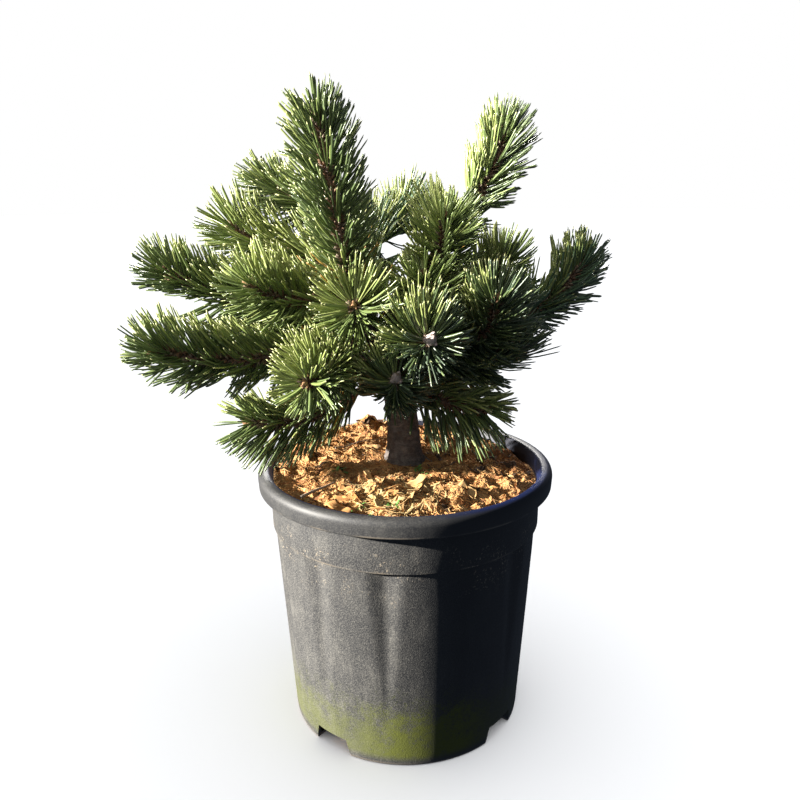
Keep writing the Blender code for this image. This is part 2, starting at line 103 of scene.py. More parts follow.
# ---- trunk and shoots, as in the solids ------------------------------------------------------
TRUNK = (  # points on its axis and its radius there, mm
    ((-1, 14, 260), 22.0),
    ((-1, 14, 266), 19.4),
    ((-1, 13, 278), 17.2),
    ((-2, 11, 300), 15.8),
    ((-5, 7, 325), 15.0),
    ((-13, -3, 358), 13.0),
    ((-26, -20, 392), 9.6),
    ((-39, -40, 420), 7.2),
    ((-46, -50, 434), 6.0),
)
CLEAR = 0.3 * MM  # between a limb and what carries it
BOUGH_STEPS = 3
STEM_STEPS = 4
STEM_FOOT = 3.6 * MM
STEM_TIP = 2.2 * MM
JOINT = 3.0 * MM  # the short straight lengths where a bough goes over into its stem
GOLDEN_ANGLE = radians(137.508)
CROWDING = 0.85  # below 1, needles stand closer towards the tip

# Each shoot, in mm: the point where its outer part begins, its tip and how that part bows, what
# carries it and at which share of its length, its radius there and the length of its bare bough.
Shoot = namedtuple("Shoot", "through tip bow carrier leaves_at radius bare")
SHOOT_ROWS = {
    "leader": ((-46, -50, 434), (-71, -60, 588), (2, -14, 0), "trunk", 1.0, 6.0, 0),
    "left_high": ((-91, 72, 513), (-144, 94, 534), (0, 0, -5), "trunk", 0.86, 5.4, 48),
    "left_upper": ((-104, 38, 465), (-169, 40, 493), (0, 0, -6), "left_high", 0.70, 4.4, 30),
    "left_long": ((-136, -5, 425), (-222, -20, 458), (0, 0, -7), "trunk", 0.78, 5.4, 30),
    "left_inner": ((-80, -34, 430), (-134, -62, 449), (0, 0, -5), "trunk", 0.93, 4.4, 20),
    "left_low": ((-112, -52, 384), (-213, -90, 398), (0, 0, -8), "trunk", 0.70, 5.6, 30),
    "left_low_back": ((-92, 4, 374), (-174, 15, 384), (0, 0, -5), "trunk", 0.58, 5.0, 28),
    "left_bottom": ((-87, -20, 315), (-147, -40, 318), (0, 0, -5), "trunk", 0.50, 5.2, 36),
    "front_left": ((-58, -68, 386), (-78, -138, 380), (0, 0, -4), "trunk", 0.75, 4.6, 24),
    "front_right": ((6, -60, 404), (20, -133, 413), (0, 0, -4), "trunk", 0.62, 5.0, 26),
    "front_upper": ((-39, -60, 426), (-41, -98, 435), (0, 0, -3), "trunk", 0.88, 4.4, 22),
    "front_low": ((-11, -40, 354), (-7, -103, 374), (0, 0, -5), "trunk", 0.46, 4.8, 22),
    "centre": ((22, -18, 416), (18, -44, 454), (0, -4, 0), "right_high", 0.38, 4.2, 18),
    "right_inner": ((32, -20, 466), (36, -40, 503), (0, -4, 0), "right_high", 0.60, 4.2, 26),
    "right_high": ((63, 32, 509), (97, 46, 580), (6, 0, 0), "trunk", 0.69, 6.2, 100),
    "right_upper": ((75, 12, 430), (93, 2, 463), (4, 0, 0), "right_long", 0.74, 4.4, 22),
    "right_long": ((122, 33, 406), (179, 40, 459), (7, 0, -3), "trunk", 0.54, 5.8, 52),
    "right_front": ((68, -42, 398), (80, -72, 436), (3, -4, 0), "trunk", 0.57, 4.8, 28),
    "right_low": ((66, -12, 366), (100, -26, 387), (0, 0, -5), "trunk", 0.50, 4.8, 34),
    "right_bottom": ((32, -26, 334), (81, -38, 327), (0, 0, -3), "trunk", 0.38, 4.6, 24),
    "back_high": ((-26, 80, 475), (12, 108, 512), (0, 0, -6), "trunk", 0.82, 4.8, 38),
    "back_upper": ((-58, 88, 452), (-80, 152, 484), (0, 0, -5), "trunk", 0.74, 5.6, 40),
    "back_left": ((-82, 72, 414), (-138, 122, 428), (0, 0, -5), "trunk", 0.64, 5.0, 30),
    "back_left_low": ((-58, 62, 348), (-104, 118, 350), (0, 0, -5), "trunk", 0.45, 4.8, 26),
    "back_low": ((2, 62, 344), (6, 132, 352), (0, 0, -5), "trunk", 0.40, 4.8, 28),
    "back_middle": ((22, 80, 404), (46, 156, 424), (0, 0, -5), "trunk", 0.59, 5.2, 30),
    "back_right": ((72, 72, 398), (122, 112, 420), (0, 0, -5), "trunk", 0.465, 5.0, 40),
    "back_right_low": ((54, 56, 346), (95, 104, 350), (0, 0, -5), "trunk", 0.43, 4.8, 28),
}
SHOOTS = {name: Shoot(*row) for name, row in SHOOT_ROWS.items()}

# ---- bark ------------------------------------------------------------------------------------
TRUNK_SUNK = Vector((0.0, 0.0, 4.0)) * MM  # how deep the trunk goes into the compost
TRUNK_FLARE = 1.12  # and how much wider it is there
STEM_SUNK = 3.0  # how deep a stem goes into its bough, mm
BARK_RINGS = 9.0 * MM  # sizes of the rings round a limb, of its plates and of its furrows
BARK_PLATES = 4.2 * MM
BARK_FURROWS = 2.6 * MM

# ---- needles ---------------------------------------------------------------------------------
LEAN_SIDE = radians(63.0)  # a needle's angle off its stem along the shoot
LEAN_SPREAD = 0.13  # and how much it varies, radians
REACHES = (0.87, 1.0)  # the range of lengths
TRIALS = 6  # how often a pair of needles is tried in a new place
TRIAL_TURN = 0.5  # how much further round the stem each new trial may go, radians
TRIAL_SHORTER = 0.08  # and how much shorter its needles are, as a share
BENDS_AHEAD = (0.05, 0.30)  # how far a tip is bent along the stem, as a share of its length
BEND_SPREAD = 0.05  # and how far to any side
LIFTS = (0.2, 1.7)  # the range of the habit's lift
MINGLE = 7.0 * MM  # how far needles cross the border between two shoots
LIMB_MARGIN = 1.0 * MM  # kept from the trunk and boughs
STEM_MARGIN = 1.2 * MM  # kept from the stems of other shoots
POT_MARGIN = 1.5 * MM
STRAY = 3.0 * MM  # how far the boldest needle sticks into a gap
NEEDLE_SHARES = (0.0, 0.12, 0.40, 0.70, 0.95, 1.0)
NEEDLE_WIDTHS = (0.75, 0.98, 1.0, 1.0, 0.74, 0.0)  # of the needle's full width, up to its point
NEEDLE_OUTLINE = ((-1.0, 0.0), (0.0, -0.45), (1.0, 0.0), (0.0, 0.75))
PROBES = (0.3, 0.45, 0.65, 0.85, 1.0)  # shares at which a needle is tried for room
PAIR_SPLIT = radians(4.5)  # each needle of a pair leans this far from the pair's middle
SHEATH = 5.5 * MM  # length of the sheath at a needle's foot
SHEATH_RADII = (1.3 * MM, 1.0 * MM)
GREY_SHEATHS = 0.4  # the share of them that are grey
SHEATH_OUTLINE = ((-1.0, 0.0), (0.0, -1.0), (1.0, 0.0), (0.0, 1.0))
# Along a slanting stem the needles part on this side, so that its bark shows there.
PART_TOWARDS = np.array((0.15, -1.0, 0.25))
PART_HALF = radians(24.0)
PART_SHARE = 0.72  # of the needles there are left out
OLD_NEEDLES = 0.16  # share of the stem from its foot where some needles are old and yellow
OLD_SHARE = 0.10  # and the share of them that are
# What sets a shoot's needles apart: their greens, their length as a share of the usual, their
# angle off the stem round the bud (degrees), how far their tips are bent up and, towards the
# shoot's tip, aside (shares of their length), and how much shorter they are at bud and foot.
Habit = namedtuple(
    "Habit",
    "tone reach lean lift sway at_bud at_foot",
    defaults=("usual", 1.0, 34.0, 0.15, (0.0, 0.0, 0.0), 0.39, 0.0),
)
# each habit's tone is painted light or shade for that shoot
HABITS = {
    "leader": Habit(lean=42.0, sway=(-0.05, 0.0, -0.05), at_bud=0.50, at_foot=0.22),
    "left_high": Habit(reach=0.92, sway=(-0.14, 0.0, -0.06), at_foot=0.12),
    "left_upper": Habit("painted_sunlit", reach=1.12, sway=(-0.06, 0.0, -0.04)),
    "left_long": Habit(reach=0.96),
    "left_inner": Habit("painted_sunlit"),
    "left_low": Habit(reach=1.04, lift=0.24, sway=(0.06, 0.0, -0.02)),
    "left_bottom": Habit(reach=1.10, lean=48.0, lift=-0.16, sway=(-0.02, 0.0, 0.10)),
    "front_left": Habit("painted_sunlit", lean=46.0),
    "front_right": Habit("deep", lean=60.0, lift=0.26),
    "front_upper": Habit("painted_sunlit", lean=46.0),
    "front_low": Habit("deep", lean=58.0, lift=0.24),
    "centre": Habit("painted_sunlit"),
    "right_inner": Habit("painted_sunlit"),
    "right_high": Habit(sway=(0.06, 0.0, 0.0), at_bud=0.45, at_foot=0.32),
    "right_upper": Habit("painted_sunlit"),
    "right_long": Habit("painted_sky_shade", reach=0.94, lift=0.22, sway=(-0.10, 0.0, 0.02), at_foot=0.1),
    "right_front": Habit("deep", reach=1.05),
    "right_low": Habit("deep", lift=0.26, sway=(0.18, 0.0, 0.12)),
    "right_bottom": Habit(reach=0.94, lift=-0.26),
    "back_high": Habit("painted_sky_shade", reach=1.03),
    "back_middle": Habit("deep"),
    "back_right": Habit("painted_sky_shade"),
}
# The shoots whose needles make up the upper piece.
UPPER = ("centre", "right_inner", "right_upper", "right_high", "back_high")
# Painted light and shade: each tone is a lighter or darker set of the greens, dealt to a shoot by
# how much light falls on it; deep and painted_sky_shade darken shaded shoots, the latter with the
# sky's blue, and painted_sunlit lightens shoots in the light.
TONES = {
    "deep": ("needle_shade", "needle_deep", "needle_green"),
    "usual": ("needle_deep", "needle_green", "needle_fresh"),
    "painted_sunlit": ("needle_green", "needle_fresh", "needle_lime"),
    "painted_sky_shade": ("needle_shade", "needle_blue", "needle_green"),
}
# Round gaps through which the sky shows, named for what they lie between: where each is in the
# plane of the trunk, (x, z) and its radius, mm.
GAPS = {
    "front_left and trunk": (
        (-45, 324, 6), (-38, 326, 6.5), (-45, 315, 7), (-34, 315, 7.5), (-26, 310, 5.5),
    ),
    "leader and right_inner": ((-15, 475, 5), (-5, 480, 5), (-14, 467, 4), (2, 484, 3.5)),
    "right_inner and right_high": (
        (92, 499, 4), (79, 504, 4.5), (53, 528, 5.5), (43, 536, 6.5), (49, 559, 4),
    ),
    "right_upper and right_long": ((134, 460, 5), (126, 452, 4)),
    "right_long and right_low": ((103, 353, 6), (99, 298, 5)),
    "left_long and left_low": (
        (-237, 430, 4), (-225, 426, 5), (-210, 423, 5.5), (-195, 419, 5), (-181, 415, 4),
    ),
    "left_low and left_bottom": ((-186, 336, 7.5), (-202, 332, 5), (-138, 342, 4.5)),
    "left_bottom and mulch": ((-65, 270, 8.5), (-83, 264, 8.5), (-99, 258, 6), (-55, 283, 6)),
}
GAP_ENDS = (0.80, 1.26)  # where a gap begins and ends, as shares of the way to the trunk
# Shafts by which the low light reaches the mulch: where each meets the mulch, mm.
SHAFTS = (
    (-100, 90), (-80, 62), (-60, 48), (-44, 62), (-64, 26), (-104, 12), (-38, 36), (-84, 34),
    (-34, 22), (-52, 12), (-76, 8),
)
SHAFT_RUN = Vector((-194.0, -48.0, 65.0)) * MM
SHAFT_RADIUS = 12.0 * MM

# ---- buds ------------------------------------------------------------------------------------
BUD_LENGTH = 11.0 * MM
BUD_RADIUS = 3.5 * MM
BUD_SCALES = 38
# Sizes of the buds that are pale with resin, and the size of the other shoots' brown ones.
PALE_BUDS = {"front_right": 1.3, "front_low": 1.2, "leader": 1.0}
BUD_SIZE = 0.62
SIDE_BUDS = 3  # round the foot of each bud
SIDE_BUD_SIZE = 0.55
SCALE_SHARES = (0.0, 0.3, 0.65, 1.0)
SCALE_WIDTHS = (1.5, 1.6, 1.0, 0.0)  # mm
SCALE_DEPTHS = (0.5, 0.45, 0.3, 0.0)

# ---- mulch -----------------------------------------------------------------------------------
MULCH_CELLS = 270  # squares across the bed's grid
MULCH_EDGE = COLLAR_RADIUS - 2.4 * MM
CLODS = ((26.0 * MM, 1.15), (11.0 * MM, 0.65), (5.0 * MM, 0.32))  # width and share of the lump
BLADE_OUTLINE = ((-1.0, 0.0), (0.0, -0.45), (1.0, 0.0), (0.0, 0.45))
CUPPED_OUTLINE = (
    (-1.0, 0.9), (-0.6, 0.15), (0.0, -0.2), (0.6, 0.15), (1.0, 0.9), (0.55, 0.75), (0.0, 0.45),
    (-0.55, 0.75),
)
FIBRE_OUTLINE = ((-1.0, -0.6), (1.0, -0.6), (0.0, 1.0))
STICK_OUTLINE = tuple((cos(2.0 * pi * side / 5), sin(2.0 * pi * side / 5)) for side in range(5))
STRAW_PATCH = Vector((-12.0, -80.0, 0.0)) * MM  # pale straw lies thickest here
DARK_PATCH = Vector((118.0, 20.0, 0.0)) * MM  # damp crumbs at the wall
# painted shadow: husk beside the trunk gets the dark finish where the trunk's shadow falls
TRUNK_SHADOW_PATCH = Vector((44.0, 24.0, 0.0)) * MM  # and beside the trunk
PATCH_RADIUS = 50.0 * MM
BANK_BEARING = radians(178.0)  # loose mulch is banked up to the rim on this side
BANK = 6.0 * MM
PEAK = Vector((-42.0, 112.0, 0.0)) * MM  # a clod that stands up at the back
PEAK_HEIGHT = 15.0 * MM
PEAK_RADIUS = 15.0 * MM
SPRIGS = ((15.0, -22.0), (-66.0, -32.0), (-10.0, -96.0), (-38.0, -102.0))  # mm
SPRIG_BLADES = 12
SPRIG_SPREAD = 4.5  # how far a sprig's blades stand from its middle, mm
SPRIG_LENGTHS = (5.0, 10.0)  # range, mm
SPRIG_WIDTHS = (0.4, 0.9, 1.0, 0.9, 0.5, 0.0)  # mm
# both ends of the loose sticks, and their radius, in mm
STICKS = (
    ((-93.0, -82.0), (-57.0, -40.0), 1.6),
    ((12.0, 40.0), (26.0, 0.0), 1.1),
    ((-70.0, 20.0), (-28.0, 48.0), 1.0),
)
# The kinds of loose husk: how many for each setting's share, the range of lengths and of half
# widths in mm, how strongly they curl aside and arch up, how closely they lie on the bed, and
# the height of their middle above it in mm.
Husk = namedtuple("Husk", "share rings length half curl arch cling lift outline flat")
HUSKS = {
    "chips": Husk(0.013, 8, (14.0, 32.0), (3.5, 7.5), 0.8, 1.8, 0.6, 1.4, CUPPED_OUTLINE, 0.24),
    "flakes": Husk(0.06, 8, (8.0, 20.0), (1.6, 4.0), 1.3, 3.0, 0.5, 1.0, CUPPED_OUTLINE, 0.28),
    "crumbs": Husk(0.927, 5, (2.6, 8.0), (0.5, 1.5), 2.0, 1.6, 0.65, 0.4, BLADE_OUTLINE, 0.7),
}
CHIPS = ((102.0, -72.0, 0.0), (58.0, -70.0, 0.0), (54.0, -98.0, 0.0), (71.0, -14.0, 0.0))  # mm
FIBRE_RINGS = 5
# ranges of lengths and of half widths, mm, and how a strand thins towards its ends
FIBRE_LENGTHS = (6.0, 18.0)
FIBRE_HALVES = (0.18, 0.42)
FIBRE_TAPER = (0.6, 1.0, 1.0, 0.8, 0.3)
STRAW_LENGTHS = (14.0, 36.0)
STRAW_HALVES = (0.45, 1.1)
STRAW_TAPER = (0.5, 1.0, 1.0, 0.9, 0.3)

# ---- finishes --------------------------------------------------------------------------------
# painted reflection of the blue sky on the rim's inner edge, darker at the back as painted shade
PAINTED_SKY_NEAR = (0.001, 0.007, 0.050)  # the rim's inner edge at the front
PAINTED_SKY_FAR = (0.001, 0.003, 0.016)  # and at the back
# name: colour, roughness
PLAIN_FINISHES = {
    # the needle greens are dealt out as painted light and shade; needle_lime and needle_tip are
    # partly the needles' own yellowish points, partly painted light
    "needle_shade": ((0.062, 0.092, 0.054), 0.36),
    "needle_deep": ((0.080, 0.116, 0.044), 0.34),
    "needle_green": ((0.120, 0.164, 0.056), 0.33),
    "needle_blue": ((0.096, 0.160, 0.088), 0.34),
    "needle_fresh": ((0.176, 0.230, 0.070), 0.31),
    "needle_lime": ((0.275, 0.318, 0.105), 0.34),
    "needle_tip": ((0.420, 0.430, 0.190), 0.42),
    "needle_old": ((0.420, 0.230, 0.040), 0.50),
    "sheath_brown": ((0.190, 0.110, 0.066), 0.75),
    "sheath_grey": ((0.260, 0.200, 0.150), 0.75),
    "bud_scale": ((0.410, 0.340, 0.315), 0.60),
    "bud_edge": ((0.360, 0.240, 0.200), 0.55),
    "bud_tan": ((0.360, 0.210, 0.110), 0.60),
    "bud_brown": ((0.170, 0.085, 0.045), 0.65),
    "shred_orange": ((0.460, 0.235, 0.086), 0.90),
    "shred_tan": ((0.460, 0.285, 0.125), 0.90),
    "shred_red": ((0.260, 0.115, 0.048), 0.92),
    "shred_dark": ((0.065, 0.038, 0.022), 0.95),
    "shred_straw": ((0.480, 0.350, 0.165), 0.80),
    "sprig_green": ((0.120, 0.260, 0.060), 0.55),
    "stick_grey": ((0.230, 0.190, 0.150), 0.85),
}
NEEDLE_FINISHES = [name for name in PLAIN_FINISHES if name.startswith("needle")]
BUD_FINISHES = [name for name in PLAIN_FINISHES if name.startswith("bud")]
HUSK_FINISHES = [name for name in PLAIN_FINISHES if name.startswith("shred")]

# ---- stage -----------------------------------------------------------------------------------
CAMERA_PLACE = Vector((0.0, -737.5, 534.2)) * MM
CAMERA_DOWN = 0.2740  # radians that it looks down
CAMERA_TURN = 0.0060
CAMERA_ROLL = -0.0082
CAMERA_LENS = 35.28
CAMERA_SENSOR = 36.0
FLOOR_RADIUS = 14.0
SKY_COLOUR = (0.60, 0.74, 1.0)
BACKDROP = 1.0  # brightness of the sky behind, the same as the lit floor's
# Each lamp's spread, colour, and the pieces that it lights alone or leaves out.
Lamp = namedtuple("Lamp", "bearing height spread colour state pieces")
KEY_LIGHT = Lamp(-166.0, 18.0, 1.2, (1.0, 0.955, 0.88), "EXCLUDE", ("paper_floor",))
FLOOR_LIGHT = Lamp(0.0, 90.0, 110.0, (1.0, 1.0, 1.0), "INCLUDE", ("paper_floor",))
FILL_LIGHT = Lamp(-112.0, 32.0, 70.0, (1.0, 0.97, 0.90), "EXCLUDE", ("paper_floor", "nursery_pot"))
BACK_LIGHT = Lamp(97.0, 33.0, 14.0, (1.0, 0.97, 0.92), "EXCLUDE", ("paper_floor",))
CROWN_LIGHT = Lamp(-143.0, 38.0, 4.0, (1.0, 0.96, 0.88), "INCLUDE", ("needles_upper",))


# ---- settings --------------------------------------------------------------------------------
def length_prop(label, says, size):
    return FloatProperty(
        name=label, description=says, default=size, min=0.0, unit="LENGTH", precision=5
    )


def colour_prop(label, says, colour):
    return FloatVectorProperty(
        name=label, description=says, default=colour, size=3, min=0.0, max=1.0, subtype="COLOR"
    )


def count_prop(label, says, count):
    return IntProperty(name=label, description=says, default=count, min=0)


def power_prop(label, says, strength):
    return FloatProperty(name=label, description=says, default=strength, min=0.0)


def angle_prop(label, says, degrees):
    return FloatProperty(
        name=label, description=says, default=radians(degrees), subtype="ANGLE"
    )


class PinePotSettings(PropertyGroup):
    """Sizes and colours of the pot."""

    wall: length_prop("Wall", "Thickness of the pot's wall", 2.2 * MM)
    flute_depth: length_prop("Flute Depth", "How deep a flute is pressed in", 4.6 * MM)
    algae_height: length_prop("Algae Height", "How far up the wall the algae reach", 122 * MM)
    plastic: colour_prop("Plastic", "Colour of the clean plastic", (0.018, 0.019, 0.022))
    scuffed: colour_prop("Scuffed", "Colour of scuffed, dusty plastic", (0.190, 0.182, 0.162))
    # this colour also paints the highlight along the rim's underside and the collar's foot
    dust_and_edge_highlight: colour_prop("Dust", "Colour of dried soil on the wall", (0.40, 0.33, 0.24))
    algae: colour_prop("Algae", "Colour of the algae on the foot", (0.094, 0.108, 0.006))


class PineMulchSettings(PropertyGroup):
    """Counts, sizes and colours of the mulch."""

    lump: length_prop("Lump", "Height of the clods in the bed", 10.5 * MM)
    husks: count_prop("Husks", "Flakes and crumbs of husk", 2400)
    fibres: count_prop("Fibres", "Fine threads on the clods", 7000)
    straws: count_prop("Straws", "Flat pale straws", 90)
    bright: colour_prop("Bright", "Colour of the dry husk", (0.60, 0.320, 0.122))
    # painted light: this paler husk colour is laid on the bed's lit side, towards -X
    paler: colour_prop("Paler", "Colour of the husk where the sun dries it", (0.88, 0.50, 0.21))
    dark: colour_prop("Dark", "Colour of the damp compost below", (0.140, 0.074, 0.036))


class PineBarkSettings(PropertyGroup):
    """Relief and colours of the bark."""

    voxel: length_prop("Voxel", "Mesh size of the joined limbs", 0.85 * MM)
    relief: length_prop("Relief", "Depth of the bark's furrows and rings", 0.22 * MM)
    dark: colour_prop("Dark", "Colour of the furrows", (0.060, 0.048, 0.042))
    light: colour_prop("Light", "Colour of the plates", (0.200, 0.172, 0.155))
    young: colour_prop("Young", "Colour of a shoot's bark", (0.340, 0.185, 0.112))


class PineNeedleSettings(PropertyGroup):
    """Sizes of the needles."""

    length: length_prop("Length", "Length of the longest needles", 42.0 * MM)
    width: length_prop("Width", "Width of a needle", 2.4 * MM)
    spacing: length_prop("Spacing", "Length of stem for each pair of needles", 0.50 * MM)
    seed: count_prop("Seed", "Start of the random draws", SEED)


class PineStageSettings(PropertyGroup):
    """Light and floor."""

    sun: power_prop("Sun", "Strength of the key light", 20.0)
    bearing: angle_prop("Bearing", "Where the sun stands, turned from +X", KEY_LIGHT.bearing)
    height: angle_prop("Height", "How high the sun stands", KEY_LIGHT.height)
    sky: power_prop("Sky", "Strength of the soft sky", 0.12)
    floor_light: power_prop("Floor Light", "Strength of the light on the floor", 4.0)
    fill: power_prop("Fill", "Strength of the wide light before the plant", 0.85)
    crown: power_prop("Crown", "Strength of the light on the upper shoots", 8.0)
    back: power_prop("Back", "Strength of the light behind the plant", 4.5)
    floor: colour_prop("Floor", "Colour of the floor", (0.86, 0.86, 0.86))


# ---- tools for objects -----------------------------------------------------------------------
def deselect():
    bpy.ops.object.select_all(action="DESELECT")


def pick(obj):
    """Makes an object the only selected and active one."""
    deselect()
    obj.select_set(True)
    bpy.context.view_layer.objects.active = obj


def edit(obj):
    pick(obj)
    bpy.ops.object.mode_set(mode="EDIT")


def leave_edit():
    bpy.ops.object.mode_set(mode="OBJECT")


def apply_all(obj):
    pick(obj)
    for modifier in list(obj.modifiers):
        bpy.ops.object.modifier_apply(modifier=modifier.name)


def cover(obj, finish):
    obj.data.materials.clear()
    obj.data.materials.append(finish)


def smooth_to(obj, degrees):
    pick(obj)
    bpy.ops.object.shade_smooth_by_angle(angle=radians(degrees))


def settle(obj, replaced=()):
    """The last step of each piece: it rides on the one body and stands for its solids."""
    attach(obj, "root")
    if replaced:
        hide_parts(*replaced)


def read_rows(vertices, attribute):
    flat = np.empty(len(vertices) * 3, np.float32)
    vertices.foreach_get(attribute, flat)
    return flat.reshape(-1, 3)


def places_of(mesh):
    return read_rows(mesh.vertices, "co").astype(float)


def move_to(mesh, places):
    mesh.vertices.foreach_set("co", places.astype(np.float32).ravel())
    mesh.update()


def unit(vectors):
    return vectors / np.maximum(np.linalg.norm(vectors, axis=-1, keepdims=True), 1e-12)


def between(first, second, angle):
    """The direction turned from the first towards the second by each angle."""
    return first * np.cos(angle)[:, None] + second * np.sin(angle)[:, None]


def flat_circle(bearing, radius=1.0):
    return np.stack([radius * np.cos(bearing), radius * np.sin(bearing), 0.0 * bearing], axis=1)


def from_middle(places, middle=Vector()):
    """How far each place lies from an upright line."""
    return np.hypot(places[..., 0] - middle.x, places[..., 1] - middle.y)


def noise_at(places, size, offset=0.0):
    """Smooth noise from -1 to 1 at each place, with lumps of that size."""
    scaled = places / size + offset
    return np.array([noise.noise(Vector(place)) for place in scaled])


def sweep_faces(rings, sides, pointed):
    """Faces of one swept form: its sides, its point or end cap, and the cap at its root."""
    faces = [
        (
            ring * sides + side,
            ring * sides + (side + 1) % sides,
            (ring + 1) * sides + (side + 1) % sides,
            (ring + 1) * sides + side,
        )
        for ring in range(rings - 1)
        for side in range(sides)
    ]
    last = (rings - 1) * sides
    if pointed:
        tip = rings * sides
        faces += [(last + side, last + (side + 1) % sides, tip) for side in range(sides)]
    else:
        faces.append(tuple(range(last, last + sides)))
    faces.append(tuple(reversed(range(sides))))
    return faces


def sweep(name, lines, across, widths, depths, outline, slots, finishes, pointed=False):
    """Many small swept forms as one mesh. lines[form, ring] are points of their centre lines,
    across[form] the way their width lies, widths and depths[form, ring] half sizes, outline the
    section's unit points, and slots[form] the finish of each form, or of each of its faces."""
    ahead = np.empty_like(lines)
    ahead[:, 1:-1] = lines[:, 2:] - lines[:, :-2]
    ahead[:, 0] = lines[:, 1] - lines[:, 0]
    ahead[:, -1] = lines[:, -1] - lines[:, -2]
    ahead = unit(ahead)
    wide = across[:, None, :]
    wide = unit(wide - ahead * (wide * ahead).sum(-1, keepdims=True))
    deep = np.cross(ahead, wide)
    rings = lines.shape[1] - 1 if pointed else lines.shape[1]
    shape = np.array(outline)
    wide = (wide[:, :rings] * widths[:, :rings, None])[:, :, None, :]
    deep = (deep[:, :rings] * depths[:, :rings, None])[:, :, None, :]
    around = lines[:, :rings, None, :] + wide * shape[:, :1] + deep * shape[:, 1:]
    places = around.reshape(len(lines), -1, 3)
    if pointed:
        places = np.concatenate([places, lines[:, -1:]], axis=1)
    template = sweep_faces(rings, len(outline), pointed)
    if slots.ndim == 1:
        slots = np.repeat(slots[:, None], len(template), axis=1)
    each = places.shape[1]
    faces = [
        tuple(form * each + corner for corner in face)
        for form in range(len(lines))
        for face in template
    ]
    mesh = bpy.data.meshes.new(name)
    mesh.from_pydata(places.reshape(-1, 3).tolist(), [], faces)
    for finish in finishes:
        mesh.materials.append(plain_finish(finish))
    mesh.polygons.foreach_set("material_index", slots.astype(np.int32).ravel())
    mesh.update()
    return show(name, mesh)


def show(name, data):
    """A new object in the scene for a mesh, curve, lamp or camera."""
    obj = bpy.data.objects.new(name, data)
    bpy.context.scene.collection.objects.link(obj)
    return obj


# ---- tools for finishes ----------------------------------------------------------------------
class Finish:
    """A material, and the steps that its pattern is worked out by."""

    def __init__(self, name, colour, roughness, specular, squeeze=1.0):
        self.material = bpy.data.materials.new(name)
        self.material.use_nodes = True
        self.material.diffuse_color = (*colour, 1.0)
        self.tree = self.material.node_tree
        self.sockets = self.tree.nodes["Principled BSDF"].inputs
        self.feed(self.sockets["Base Color"], colour)
        self.sockets["Roughness"].default_value = roughness
        self.sockets["Specular IOR Level"].default_value = specular
        self.place = self.squeezed(squeeze)

    def feed(self, socket, value):
        """Links a socket to another, or sets it to a plain number, colour or vector."""
        if isinstance(value, bpy.types.NodeSocket):
            self.tree.links.new(value, socket)
        elif hasattr(value, "__len__"):
            socket.default_value = (*value, 1.0)[: len(socket.default_value)]
        else:
            socket.default_value = value

    def add(self, kind, inputs, **choices):
        """A new node with its choices made and its inputs fed."""
        node = self.tree.nodes.new("ShaderNode" + kind)
        for choice, value in choices.items():
            setattr(node, choice, value)
        for socket, value in inputs.items():
            self.feed(node.inputs[socket], value)
        return node.outputs

    def squeezed(self, factor):
        """Object coordinates, squeezed along Z; below 1 a pattern is drawn out."""
        source = self.add("TexCoord", {})["Object"]
        return self.add("Mapping", {"Vector": source, "Scale": (1.0, 1.0, factor)})["Vector"]

    def split(self):
        return self.add("SeparateXYZ", {0: self.place})

    def grain(self, size, detail=4.0, roughness=0.55, distortion=0.0, place=None):
        """Noise whose lumps are about that size."""
        inputs = {"Vector": self.place if place is None else place, "Scale": 1.0 / size}
        inputs.update(Detail=detail, Roughness=roughness, Distortion=distortion)
        return self.add("TexNoise", inputs)["Fac"]

    def rise(self, value, low, high):
        """0 below low, 1 above high, smooth between them; falls where high is the lower."""
        ends = {"From Min": min(low, high), "From Max": max(low, high)}
        ends.update({"To Min": float(high < low), "To Max": float(high >= low)})
        return self.add("MapRange", {"Value": value, **ends}, interpolation_type="SMOOTHSTEP")[0]

    def band(self, value, low, begin, end, high):
        """1 from begin to end, falling to 0 at low and at high."""
        return self.times(self.rise(value, low, begin), self.rise(value, high, end))

    def reckon(self, operation, *values):
        inputs = dict(enumerate(values))
        return self.add("Math", inputs, operation=operation)[0]

    def times(self, *values):
        return reduce(lambda first, second: self.reckon("MULTIPLY", first, second), values)

    def plus(self, *values):
        return reduce(lambda first, second: self.reckon("ADD", first, second), values)

    def mixed(self, share, first, second):
        """Colour that goes from first to second as share goes from 0 to 1."""
        return self.add("Mix", {0: share, 6: first, 7: second}, data_type="RGBA")[2]

    def tint(self, colour):
        self.feed(self.sockets["Base Color"], colour)

    def relief(self, height, depth):
        """Bump of that depth from a height between 0 and 1."""
        bump = self.add("Bump", {"Height": height, "Distance": depth})
        self.feed(self.sockets["Normal"], bump["Normal"])


def plain_finish(name):
    """One of the finishes that are dealt out by form: a plain colour with a fine relief."""
    found = bpy.data.materials.get(name)
    if found:
        return found
    needle = name.startswith("needle")
    made = Finish(name, *PLAIN_FINISHES[name], 0.8 if needle else 0.25)
    made.relief(made.grain(1.2 * MM if needle else 0.7 * MM, 2.0), 0.12 * MM)
    return made.material


